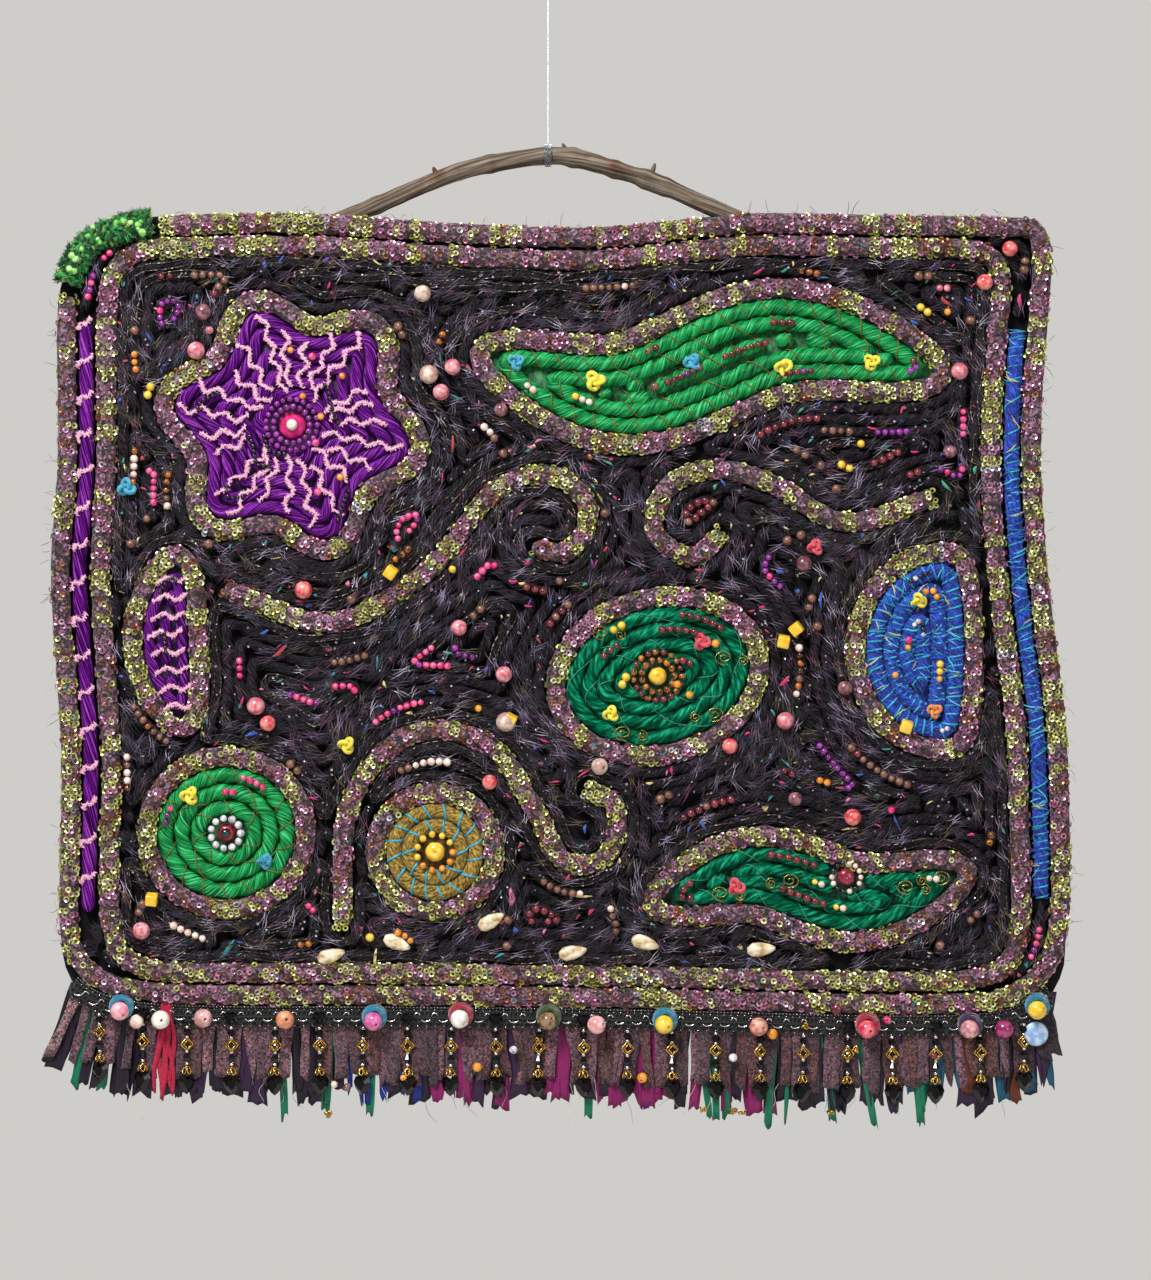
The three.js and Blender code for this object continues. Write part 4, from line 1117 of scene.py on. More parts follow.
def pierced(radius, hole, steps):
    """The profile of a round bead with a hole along its axis."""
    start = math.asin(hole / radius)
    angles = np.linspace(start, math.pi - start, steps)
    rim = [(radius * math.sin(angle), radius * math.cos(angle)) for angle in angles]
    return rim + [(hole * 0.9, 0)] + rim[:1]


def fitted(name, shape, place, turn, material, slot_name, *nodes):
    """A piece from a shape made in millimetres round the origin, turned and set in its place."""
    matrix = Matrix.Translation(Vector(place) * MM) @ turn @ Matrix.Scale(MM, 4)
    bmesh.ops.transform(shape, matrix=matrix, verts=shape.verts)
    return placed(name, as_mesh(name, shape), material, slot_name, *nodes)


TO_FRONT = Matrix.Rotation(math.pi / 2, 4, "X")
DOME_SEAT = 5.0
DOME_LOOKS = {
    # name: slot, finish, colour, paler shade, roughness, bead on top and its radius
    "flower_button": ("magenta_bead", "felted_magenta_wool", "b0105e", "e02a80", 0.9, "cream_pearl", 3.6),
    "roundel_bead": ("crimson_bead", "crimson_tinsel", "7a0f26", "c42a45", 0.35, "black_cabochon", 3.4),
    "medallion_bead": ("yellow_bead", "yellow_resin", "eeb00c", "f7cf4e", 0.25, "", 0),
    "daisy_bead": ("yellow_bead", "golden_resin", "edb41a", "f8d860", 0.25, "", 0),
    "low_leaf_bead": ("crimson_bead", "garnet_glass", "7d1430", "b23a55", 0.15, "", 0),
}
CROWNS = {
    # finish: colour, paler vein, slot
    "cream_pearl": ("e6d9c0", "fbf4e4", "pearl_bead"),
    "black_cabochon": ("08090a", "1c2221", "black_glass"),
}
for name, (x, z, radius, height) in DOMES.items():
    slot_name, look, colour, pale, rough, crown, crown_radius = DOME_LOOKS[name]
    rise = height * (0.72 if crown else 1)
    quarter = np.linspace(0, np.pi / 2, 9)
    profile = [(0, 0), (0.86 * radius, 0)]
    for angle in quarter[:-1]:
        profile.append((radius * math.cos(angle) ** 0.7 * 0.99, rise * (0.2 + 0.8 * math.sin(angle))))
    profile += [(0.12 * radius, rise * 0.985), (0.1 * radius, rise * 0.9), (0, rise * 0.9)]
    dome = turned_shape(profile, 28)
    stuff = polished(look, colour, pale, rough)
    fitted(name + "_dome", dome, (x, -DOME_SEAT, z), TO_FRONT, stuff, slot_name, name)
    if crown:
        colour, pale, slot_name = CROWNS[crown]
        ball = turned_shape(pierced(crown_radius, 0.3, 12), 20)
        place = (x, -DOME_SEAT - rise - crown_radius * 0.3, z)
        fitted(name + "_crown", ball, place, TO_FRONT, polished(crown, colour, pale, 0.15), slot_name)


# Small beads: rings round the domes, strings along the rows, and single ones, all sewn on top.
# They are pierced glass, wood and resin beads of 3 to 6 mm, and a few marbled ones of up to 12 mm.
BEAD_KINDS = {
    # name: colour, paler vein, roughness, slot
    "purple_pearl": ("520d58", "98349e", 0.16, "purple_pearl"),
    "pink_bead": ("cf1f66", "ec6a9c", 0.22, "rose_bead"),
    "maroon_bead": ("4a1219", "84303a", 0.2, "maroon_bead"),
    "amber_bead": ("1d100b", "c4701f", 0.2, "peach_bead"),
    "orange_bead": ("d8781a", "f0a83c", 0.25, "peach_bead"),
    "brown_bead": ("5c382c", "8d6450", 0.4, "brown_bead"),
    "yellow_bead": ("e6b312", "f5d455", 0.28, "yellow_bead"),
    "black_bead": ("060608", "1a1a1e", 0.12, "black_glass"),
    "pale_bead": ("e0b9ae", "f4e6d8", 0.28, "pearl_bead"),
    "clear_bead": ("a9a4ad", "ece8ef", 0.08, "silver_seed"),
    "marbled_rose": ("c55b6d", "e9a9ad", 0.25, "rose_bead"),
    "marbled_coral": ("cf3646", "f0938a", 0.25, "crimson_bead"),
    "marbled_plum": ("64323f", "a5717a", 0.28, "maroon_bead"),
    "marbled_stone": ("b98a80", "ddd0bd", 0.3, "pearl_bead"),
}
BEAD_RINGS = [
    # centre x and z, ring radius, kinds, bead radius, count
    (-163, -168, 11.6, "purple_pearl", 2.1, 17), (-163, -168, 16.2, "purple_pearl", 2.0, 23),
    (70, -328, 10.4, "amber_bead", 2.4, 13), (70, -328, 15.4, "amber_bead maroon_bead", 2.2, 19),
    (-205, -428, 9.6, "clear_bead", 2.5, 11), (-72, -440, 11.4, "yellow_bead orange_bead", 2.3, 11),
    (190, -456, 9.2, "pale_bead black_bead", 1.9, 14),
]
STRUNG = [
    # kinds, the rows that carry them, strings, least and most beads, radius
    ("purple_pearl pink_bead", "dark", 13, 4, 10, 2.2),
    ("maroon_bead brown_bead", "dark", 14, 2, 9, 2.6),
    ("brown_bead pale_bead amber_bead", "dark", 14, 2, 7, 2.4),
    ("pink_bead marbled_rose", "dark", 9, 1, 4, 2.3), ("orange_bead amber_bead", "dark", 9, 1, 3, 2.3),
    ("yellow_bead", "dark", 6, 1, 2, 2.6), ("brown_bead", "dark", 26, 1, 2, 2.9),
    ("purple_pearl maroon_bead", "long_leaf", 4, 3, 8, 2.2),
    ("yellow_bead pale_bead", "long_leaf", 3, 1, 3, 2.3),
    ("brown_bead maroon_bead", "long_leaf", 3, 1, 3, 2.6),
    ("pink_bead purple_pearl", "roundel", 3, 2, 5, 2.2), ("maroon_bead", "medallion", 4, 2, 6, 2.5),
    ("yellow_bead orange_bead", "medallion", 5, 1, 2, 2.8), ("maroon_bead", "low_leaf", 3, 4, 9, 2.7),
    ("pale_bead yellow_bead", "low_leaf", 3, 1, 2, 2.2),
    ("orange_bead pink_bead", "flower", 8, 1, 1, 2.4), ("black_bead", "flower", 6, 5, 9, 1.6),
    ("black_bead", "side_leaf", 2, 4, 7, 1.5),
    ("yellow_bead orange_bead pink_bead", "fan", 4, 1, 3, 2.3),
    ("black_bead clear_bead", "fan", 3, 3, 5, 1.7), ("marbled_rose", "dark", 9, 1, 1, 5.6),
    ("marbled_coral", "dark", 7, 1, 1, 5.2), ("marbled_plum", "dark", 6, 1, 1, 4.8),
    ("marbled_stone", "dark", 4, 1, 1, 5.8),
]
RING_DEPTH, SAME_KIND, MOST_TRIES, BEAD_GAP = 9.8, 0.7, 400, 6
bead_spots = {name: [] for name in BEAD_KINDS}
rng = np.random.default_rng(52)
for x, z, reach, kinds, radius, count in BEAD_RINGS:
    for angle in np.arange(count) * 2 * math.pi / count:
        kind = rng.choice(kinds.split())
        out = RING_DEPTH + radius * rng.uniform(0.5, 0.8)
        flat = (x + reach * math.cos(angle), z + reach * math.sin(angle))
        own = radius * rng.uniform(0.9, 1.05)
        bead_spots[kind].append((flat[0], -out, flat[1], -math.sin(angle), math.cos(angle), own))
taken = [np.array([dome[:2] for dome in DOMES.values()])]
for kinds, where, strings, least, most, radius in STRUNG:
    rows = dark_rows if where == "dark" else figure_rows[where]
    top = DARK_MIDDLE + DARK_DEEP if where == "dark" else sum(FIGURE_CORDS[where][1:3])
    made = tries = 0
    while made < strings and tries < MOST_TRIES:
        tries += 1
        line, closed = rows[rng.integers(len(rows))]
        fine = evenly(line, closed, radius * 2.06)
        count = int(rng.integers(least, most + 1))
        start = int(rng.integers(0, max(1, len(fine) - count + 1)))
        piece = fine[start:start + count]
        far = min(np.min(np.hypot(*(np.vstack(taken) - place).T)) for place in piece)
        if len(line) < 10 or len(piece) < least or far < radius + BEAD_GAP:
            continue
        made += 1
        taken.append(piece)
        main = rng.choice(kinds.split())
        ahead = unit(np.gradient(piece, axis=0)) if len(piece) > 1 else rng.normal(0, 1, (1, 2))
        for place, way in zip(piece, ahead):
            kind = main if rng.random() < SAME_KIND else rng.choice(kinds.split())
            own = radius * rng.uniform(0.88, 1.1)
            bead_spots[kind].append((place[0], -(top + own * 0.5), place[1], *way, own))
small_bead, large_bead = (
    as_mesh("bead", turned_shape(pierced(1, 0.2, rings), steps)) for rings, steps in ((6, 8), (12, 18))
)
for name, (colour, pale, rough, slot_name) in BEAD_KINDS.items():
    spots = np.array(bead_spots[name])
    fronts = lifted(spots[:, 3:5]) + rng.normal(0, 0.3, (len(spots), 3))
    stamp = large_bead if name.startswith("marbled") else small_bead
    lots = rng.random(len(spots))
    sewn(
        name + "s", polished(name, colour, pale, rough), slot_name,
        stamp, spots[:, :3] * MM, fronts, (0, -1, 0.1), spots[:, 5] * MM, lots,
    )

CUBES = [
    # x, z, turn
    (150, -306, 0.2), (158, -298, 0.9), (-24, -356, 0.5), (228, -360, 0.3), (-100, -262, 0.6),
    (-252, -470, 0.1),
]
CUBE_SIZE, CUBE_BEVEL, CUBE_DEPTH = 7.5, 1.1, 12.6
cubes = bmesh.new()
for x, z, turn in CUBES:
    tilted = Matrix.Rotation(turn, 4, "Y") @ Matrix.Rotation(0.3, 4, "X")
    place = Matrix.Translation((x, -CUBE_DEPTH, z)) @ tilted
    bmesh.ops.create_cube(cubes, size=CUBE_SIZE, matrix=place)
bmesh.ops.bevel(
    cubes, geom=cubes.edges[:], offset=CUBE_BEVEL, segments=3, profile=0.5, affect="EDGES", material=-1,
)
yellow_stone = polished("yellow_stone", "efb70f", "f6cf4a", 0.3)
fitted("yellow_cubes", cubes, (0, 0, 0), Matrix(), yellow_stone, "yellow_bead")


# Chenille lines: pale pink tufted yarn run in zigzags over the satin rows, from the middle to the rope.
# Its pile stands out to both sides of the thread.
pink_chenille = finish(
    "pale_pink_chenille", [(0.3, "b9708f"), (0.5, "e0a0bc"), (0.7, "f3cddd")], 0.9, (900, 900, 900),
    relief=0.0005, Sheen_Weight=0.5,
)
rng = np.random.default_rng(63)
chenille_lines = []
SPOKES, ROPE_GAP = 23, 9
flower_x, flower_z, radius, lobes, depth, turn = FLOWER
for spoke in range(SPOKES):
    angle = spoke * 2 * math.pi / SPOKES + rng.normal(0, 0.05)
    rim_reach = radius * (1 + depth * math.cos(lobes * (angle + turn))) - ROPE_GAP
    reaches = np.arange(rng.uniform(19, 30), rim_reach, 7.5)
    sway = np.where(np.arange(len(reaches)) % 2, 1, -1) * rng.uniform(1.5, 4.2, len(reaches))
    chenille_lines.append(np.column_stack([
        flower_x + reaches * math.cos(angle) - sway * math.sin(angle),
        flower_z + reaches * math.sin(angle) + sway * math.cos(angle),
    ]))
for z in np.arange(-350, -258, 11.5):
    x = np.interp(-z, [250, 305, 362], [-236, -244, -232])
    chenille_lines.append(np.array([(x - 11, z), (x - 3, z + 5), (x + 4, z + 1), (x + 11, z + 6)]))
SIDE_STITCH = np.array([(4.4, 3), (1, -2), (-3.8, -1), (-4.4, -6)])
for spot in evenly(side_lines["side_cord_left"], False, 23)[:-1]:
    chenille_lines.append(spot + SIDE_STITCH + rng.normal(0, 0.5, (4, 2)))
chenille_lines = [(evenly(line, False, 1.6), False) for line in chenille_lines if len(line) > 2]
FIGURES_FROM, ON_FIGURES, ON_SIDE, PILE_FRONT = -280, 10.4, 11.5, 0.2
runs = [
    run(line, ON_FIGURES if line[0, 0] > FIGURES_FROM else ON_SIDE, False, 0.8, 0.7)
    for line, _ in chenille_lines
]
placed("chenille_lines", laid("chenille_lines", runs, 6, lump=0.3, seed=64), pink_chenille, "pink_chenille")
PILE = 3200
spots, ahead, left = spots_on(chenille_lines, PILE, rng)
side = np.where(rng.random((PILE, 1)) < 0.5, -1, 1)
way = left * side + ahead * rng.normal(0, 0.5, (PILE, 1))
pile_depths = np.where(spots[:, 0] > FIGURES_FROM, ON_FIGURES, ON_SIDE) + PILE_FRONT
sewn(
    "chenille_pile", pink_chenille, "pink_chenille",
    wisp(2, 2, 0.22, 0.1, rng),
    lifted(spots + left * side * 0.8, pile_depths) * MM, (0, -1, 0.01),
    lifted(way, rng.uniform(-0.2, 0.8, PILE)), rng.uniform(1.3, 2.4, PILE) * MM, rng.random(PILE),
)


# Felt knots, gold scrolls and shell chips: scraps sewn on the figures and between them. Knots are strips
# of felted wool, scrolls are couched gold wire, and chips are cut from cream shell.
KNOTS = [
    # x, z, size, wool
    (30, -140, 1.9, "yellow"), (92, -128, 1.6, "turquoise"), (150, -132, 1.8, "yellow"),
    (-20, -128, 1.5, "turquoise"), (206, -128, 1.6, "yellow"), (-228, -404, 1.7, "yellow"),
    (-180, -446, 1.5, "turquoise"), (98, -306, 1.6, "crimson"), (40, -352, 1.5, "yellow"),
    (120, -462, 1.6, "crimson"), (236, -280, 1.6, "yellow"), (246, -350, 1.4, "orange"),
    (-268, -208, 1.7, "turquoise"), (-128, -372, 1.6, "yellow"), (170, -246, 1.5, "crimson"),
]
KNOT_WOOLS = {
    "yellow": ("d9c60f", "f0e34a"), "turquoise": ("0f7fa8", "3fb0cc"), "crimson": ("c41f3a", "e0586a"),
    "orange": ("d0691c", "ee9a45"),
}
KNOT_DEPTH = 12.4
for wool, (colour, pale) in KNOT_WOOLS.items():
    felt = finish(
        "felted_" + wool + "_wool", [(0.35, colour), (0.65, pale)], 0.9, (420, 420, 420), relief=0.0008,
        Sheen_Weight=0.5,
    )
    runs = []
    for x, z, size, own in KNOTS:
        tilt = Matrix.Rotation(rng.uniform(0, 6), 3, "Y") @ Matrix.Rotation(rng.normal(0, 0.3), 3, "X")
        if own == wool:
            path = (trefoil * (1, 0.9, 1)) @ np.array(tilt).T * size + (x, -KNOT_DEPTH, z)
            runs.append((path * MM, True, size * 0.85 * MM, size * 0.7 * MM))
    mesh = laid(wool + "_felt_knots", runs, 6, lump=0.2, front=(0.1, -1, 0.2))
    placed(wool + "_felt_knots", mesh, felt, "felt")

gold_plate = finish(
    "worn_gold_plate", [(0.3, "8f6a22"), (0.5, "c79c44"), (0.7, "eed081")], 0.27, (900, 900, 900),
    Metallic=1.0,
)
SPIRALS = [
    # x, z, hand
    (34, -300, 1), (106, -352, -1), (48, -364, 1), (112, -316, 1), (110, -466, 1), (154, -458, -1),
    (228, -462, 1), (250, -456, -1),
]
SCROLL_DEPTH, TWIN_DEPTH = 11.5, 11.4
angle = np.linspace(0, 3.6 * math.pi, 44)
reach = 0.8 + angle * 0.48
runs = []
for x, z, hand in SPIRALS:
    curl = np.column_stack([x + hand * reach * np.cos(angle), z + reach * np.sin(angle) * 0.8])
    small = reach * 0.6
    twin = np.column_stack([x + hand * (12 - small * np.cos(angle)), z - 2 - small * np.sin(angle)])
    runs += [run(curl, SCROLL_DEPTH, False, 0.42), run(twin, TWIN_DEPTH, False, 0.36)]
placed("gold_scrolls", laid("gold_scrolls", runs, 4, groove=0.3, lay=0.003), gold_plate, "metal_trim")

CHIPS = [
    # x, z, tilt
    (-138, -506, 0.3), (-96, -498, -0.4), (16, -504, 0.2), (62, -498, -0.3), (136, -502, 0.1),
    (-36, -484, 0.5),
]
CHIP_SIZE, CHIP_DEPTH = (9.5, 4.6, 3.0), 9.9
chip = bmesh.new()
bmesh.ops.create_icosphere(chip, subdivisions=2, radius=1)
for vert in chip.verts:
    vert.co.z *= 0.6 + 0.12 * math.sin(vert.co.x * 9)
    vert.co.y *= 1 - 0.35 * vert.co.x
cream_shell = finish(
    "cut_cream_shell", [(0.35, "a8895a"), (0.5, "d9c8a4"), (0.68, "f3ead6")], 0.25, (180, 90, 260),
    relief=0.0006, Coat_Weight=0.4,
)
spots = np.array(CHIPS)
sewn(
    "shell_chips", cream_shell, "pearl_bead",
    as_mesh("chip", chip), lifted(spots, CHIP_DEPTH) * MM, (0, -1, 0.05),
    lifted(np.column_stack([np.cos(spots[:, 2]), np.sin(spots[:, 2])])),
    np.tile(CHIP_SIZE, (len(spots), 1)) * MM, rng.random(len(spots)),
)


# Corner bundle: tufted green chenille bound round the upper left corner, with lime glass beads in it.
# It takes the place of the outer rope there.
TUFT_DEPTH, TUFT_HALF = 8.0, 7.2
tuft_line = evenly(stretch_of(offset(edge_curve, True, 5), TUFT_FROM, TUFT_TO), False, 2.5)[2:-2]
runs = []
for strand in range(5):
    turn = np.arange(len(tuft_line)) * 0.45 + strand * 1.3 + rng.normal(0, 0.35, len(tuft_line))
    flat = offset(tuft_line, False, 4.6 * np.cos(turn))
    runs.append(run(flat, TUFT_DEPTH + 3.4 * np.sin(turn), False, 2.9, 2.6))
green_chenille = finish(
    "tufted_green_chenille",
    [(0, "0a3f1c"), (0.3, "12682f"), (0.55, "1c8a3c"), (0.8, "3aa548"), (0.92, "86b53a")], 0.92,
    by_lot=True, relief=0.0008, Sheen_Weight=0.4,
)
bundle_mesh = laid("chenille_bundle", runs, 8, lump=0.28, front=(0.02, -1, 0.03), seed=14)
placed("chenille_bundle", bundle_mesh, green_chenille, "green_chenille", "corner_tuft")
LOOPS = 1500
spots, ahead, left = spots_on([(tuft_line, False)], LOOPS, rng)
angle = rng.uniform(-0.4, math.pi + 0.4, (LOOPS, 1))
roots = lifted(spots + left * np.cos(angle) * TUFT_HALF * 0.9, TUFT_DEPTH + np.sin(angle[:, 0]) * 5.4)
outwards = lifted(left * np.cos(angle), np.sin(angle[:, 0]))
sewn(
    "chenille_loops", green_chenille, "green_chenille",
    wisp(3, 3, 0.12, 0.35, rng), roots * MM, rng.normal(0, 1, (LOOPS, 3)),
    outwards * 0.7 + rng.normal(0, 0.6, outwards.shape), rng.uniform(3, 7.5, LOOPS) * MM, rng.random(LOOPS),
)
LIME_BEADS = 18
picked = rng.integers(2, len(tuft_line) - 2, LIME_BEADS)
lime_spots = tuft_line[picked] + rng.normal(0, 3.5, (LIME_BEADS, 2))
sewn(
    "lime_glass_beads", polished("lime_glass", "4fb23e", "b9e48a"), "green_chenille",
    small_bead, lifted(lime_spots, TUFT_DEPTH + 6.2) * MM,
    rng.normal(0, 1, (LIME_BEADS, 3)), (0, 0, 1), rng.uniform(1.9, 2.9, LIME_BEADS) * MM,
    rng.random(LIME_BEADS),
)


# Side cords: one fat cord couched down each side between the border ropes, folded violet satin on the
# left and blue wool bound with turquoise thread on the right.
SIDE_HALF, SIDE_DEEP, SIDE_MIDDLE = 4.9, 4.4, 6.8
for name, line in side_lines.items():
    slot_name = SIDE_CORDS[name][2]
    runs = [run(line, SIDE_MIDDLE, False, SIDE_HALF, SIDE_DEEP)]
    mesh = laid(name + "_couched", runs, 14, 3, 0.12, 0.09, 0.06, seed=16)
    placed(name + "_couched", mesh, cord_finishes[slot_name], slot_name, name)
fine = evenly(side_lines["side_cord_right"], False, 0.9)
turn = np.cumsum(0.75 + 0.5 * np.sin(np.arange(len(fine)) * 0.05))
flat = offset(fine, False, np.cos(turn) * (SIDE_HALF + 0.1))
binding = run(flat, SIDE_MIDDLE + np.sin(turn) * (SIDE_DEEP + 0.1), False, 0.6)
mesh = laid("side_binding", [binding], 4, front=(0.05, -1, 0.02))
placed("side_binding", mesh, winding_finishes["turquoise_thread"], "loose_fibres")

# Frayed ends: short tails of the blue wool and the turquoise binding that stand out from both.
frayed_wool = finish(
    "frayed_blue_wool",
    [(0, "0b2478"), (0.3, "1a4cc0"), (0.55, "1489ad"), (0.8, "5cc9de"), (0.95, "d8c65a")], 0.85,
    by_lot=True, Sheen_Weight=0.2,
)
TAILS = 560
tailed_rows = figure_rows["fan"] + [(side_lines["side_cord_right"], False)]
spots, ahead, left = spots_on(tailed_rows, TAILS, rng)
aside = rng.uniform(-1, 1, (TAILS, 1))
depths = SIDE_MIDDLE + SIDE_DEEP * np.sqrt(1 - 0.9 * aside[:, 0] ** 2)
roots = lifted(spots + left * aside * SIDE_HALF, depths)
sewn(
    "blue_tails", frayed_wool, "loose_fibres",
    wisp(3, 2, 0.07, 0.22, rng), roots * MM, lifted(left * aside, 1.0),
    lifted(left * rng.choice([-1, 1], (TAILS, 1)) + ahead * rng.normal(0, 0.6, (TAILS, 1)), 0.1),
    rng.uniform(3.5, 8, TAILS) * MM, rng.random(TAILS),
)


# Stray ends: black and plum hairs that stand out from the border ropes and the knit between sequins.
# They are ends of the yarns that the ropes are knitted from.
stray_yarn = finish(
    "stray_yarn_ends",
    [(0, "0b090c"), (0.4, "2c2028"), (0.6, "6b4a5f"), (0.75, "8a6078"), (0.88, "5a3526"), (0.95, "17817f")],
    0.85, by_lot=True,
)
FUZZ = 2600
spots, ahead, left = spots_on(rope_lines, FUZZ, rng)
angle = rng.uniform(0.25, math.pi - 0.25, (FUZZ, 1))
roots = lifted(spots + left * np.cos(angle) * ROPE_HALF, ROPE_MIDDLE + np.sin(angle[:, 0]) * ROPE_DEEP)
sewn(
    "rope_fuzz", stray_yarn, "loose_fibres",
    wisp(3, 2, 0.09, 0.1, rng), roots * MM, lifted(left * np.cos(angle), np.sin(angle[:, 0])),
    lifted(ahead + left * rng.normal(0, 0.8, (FUZZ, 1))), rng.uniform(2.5, 5.5, FUZZ) * MM,
    rng.random(FUZZ),
)
STRAYS = 240
spots, ahead, left = spots_on(rope_lines[:1], STRAYS, rng)
stray_way = lifted(-left + ahead * rng.normal(0, 0.9, (STRAYS, 1)), rng.normal(0, 0.4, STRAYS))
sewn(
    "edge_strays", stray_yarn, "loose_fibres",
    wisp(1, 4, 0.035, 0.2, rng),
    lifted(spots - left * (ROPE_HALF + 1), rng.uniform(4, 10, STRAYS)) * MM, rng.normal(0, 1, (STRAYS, 3)),
    stray_way, rng.uniform(4, 11, STRAYS) * MM, rng.random(STRAYS) * 0.7,
)


# Fringes: torn strips hung from two headers along the lower edge. The back one is taffeta and ribbon,
# the front one speckled mauve knit.
TRIM_LEFT, TRIM_RIGHT = (-299, -519), (317, -524)
HEADER_DROP = 4.0
FANS = [
    # lean, x, fade
    (-0.5, -310, 24), (0.12, 322, -20),
]
lower_edge = evenly(stretch_of(edge_curve, TRIM_LEFT, TRIM_RIGHT), False, 4)


def torn_strips(name, count, depth, width, length, curl, ragged, lot_at, seed):
    """Strips of cloth in one mesh, each with its own width, fall, curl and torn end, and their area."""
    rng = np.random.default_rng(seed)
    foot = evenly(offset(lower_edge, False, -HEADER_DROP), False, 1)
    made = bmesh.new()
    layer = made.verts.layers.float.new("lot")
    for k in range(count):
        x, z = foot[int((k + rng.uniform(0.2, 0.8)) / count * (len(foot) - 1))]
        lot, longer, wider = lot_at(x, rng)
        lean = sum(size * math.exp((start - x) / fade) for size, start, fade in FANS) + rng.normal(0, 0.08)
        reach, half = length * longer * rng.uniform(0.86, 1.05), width * wider / 2 * rng.uniform(0.7, 1.4)
        front, sway, twist = depth + rng.uniform(-0.5, 1.0), rng.uniform(-1.8, 1.8), rng.normal(0, curl)
        slope = rng.normal(0, ragged)
        for vert in bmesh.ops.create_grid(made, x_segments=4, y_segments=9, size=0.5)["verts"]:
            across, down = 2 * vert.co.x, 0.5 - vert.co.y
            torn = rng.normal(0, ragged * 0.6) + slope * across if down > 0.99 else 0
            waves = 0.12 * math.sin(down * 3) - 0.09 * math.sin(down * 9 + k)
            waist = half * (1 - waves + rng.normal(0, 0.02))
            turn = twist * down ** 2
            fold = 0.5 * math.sin(down * 5 + k) + abs(across) ** 2 * 1.1 * math.sin(k * 2.4) * down
            vert.co = (
                x + lean * reach * down + sway * down * down + across * waist * math.cos(turn),
                -(front + down * 1.2 + fold + across * waist * math.sin(turn) * 0.35),
                z - reach * down + torn,
            )
            vert[layer] = lot
    bmesh.ops.scale(made, vec=(MM, MM, MM), verts=made.verts)
    bmesh.ops.recalc_face_normals(made, faces=made.faces)
    area = sum(face.calc_area() for face in made.faces)
    return as_mesh(name, made), area


RIBBONS = [
    # from x, to x, chance, lot, longer, wider
    (-330, -250, 0.25, 0.75, 1.05, 0.6), (-130, -60, 0.34, 0.86, 1.0, 0.5),
    (-75, 140, 0.42, 0.65, 1.04, 1.0), (-210, 270, 0.25, 0.75, 1.16, 0.55),
    (20, 100, 0.2, 0.86, 1.1, 0.5), (228, 330, 0.4, 0.95, 0.92, 0.9), (215, 330, 0.5, 0.91, 0.95, 0.9),
]


def ribbon_lot(x, rng):
    for start, end, chance, lot, longer, wider in RIBBONS:
        if start < x < end and rng.random() < chance:
            return lot, longer, wider
    return rng.uniform(0, 0.58), 1.0, 1.1


def knit_lot(x, rng):
    return np.clip(rng.uniform(0, 0.7) + (x + 310) / 1800, 0, 1), 1.0 - 0.1 * (x > 240) * rng.random(), 1.0


# Torn taffeta and satin ribbon: crisp and faintly lustrous, dark plum, magenta, emerald, blue and rust.
torn_taffeta = finish(
    "torn_taffeta",
    [(0, "1c1024"), (0.2, "2c1536"), (0.4, "170d1d"), (0.6, "7d1458"), (0.7, "07694c"), (0.82, "142a86"),
     (0.9, "5a2814"), (0.94, "17506a")],
    0.42, (420, 60, 50), by_lot=True, relief=0.0014, Specular_IOR_Level=0.35,
)
# Speckled mauve knit: the rope's own fabric cut in strips, worn paler, with frayed 1 mm loops.
mauve_knit = finish(
    "speckled_mauve_knit",
    [(0, "33202c"), (0.16, "6c4756"), (0.34, "8d6a78"), (0.5, "7a5a60"), (0.62, "a98792"), (0.74, "58505c"),
     (0.84, "b07f86"), (0.93, "5f7f88")],
    0.85, (1050, 1050, 900), cells=True, relief=0.0006, Sheen_Weight=0.2,
)
tree = mauve_knit.node_tree
lot = node(tree, "ShaderNodeAttribute", {"attribute_name": "lot"}).outputs["Fac"]
worn = node(
    tree, "ShaderNodeValToRGB", Fac=lot,
    stops=[(0, "fff0e2"), (0.2, "b79fa8"), (0.4, "d9c3c6"), (0.55, "7f7886"), (0.75, "b58f80"),
           (1, "5f5660")],
)
tinted(mauve_knit, 1.0, worn.outputs["Color"])

STRIP_THICKNESS = 0.5
BACK_FALL, FRONT_FALL = 60, 49
back_mesh, back_area = torn_strips(
    "taffeta_strips", count=122, depth=2.6, width=9.6, length=57, curl=0.6, ragged=1.8,
    lot_at=ribbon_lot, seed=71,
)
taffeta_strips = placed("taffeta_strips", back_mesh, torn_taffeta, "dark_fringe", "fringe_back")
front_mesh, front_area = torn_strips(
    "knit_strips", count=86, depth=4.5, width=8.4, length=45, curl=0.6, ragged=1.2, lot_at=knit_lot,
    seed=72,
)
knit_strips = placed("knit_strips", front_mesh, mauve_knit, "mauve_knit", "fringe_front")
falls = ((taffeta_strips, back_area, BACK_FALL * MM), (knit_strips, front_area, FRONT_FALL * MM))
for strips, area, fall in falls:
    thickened(strips, STRIP_THICKNESS)

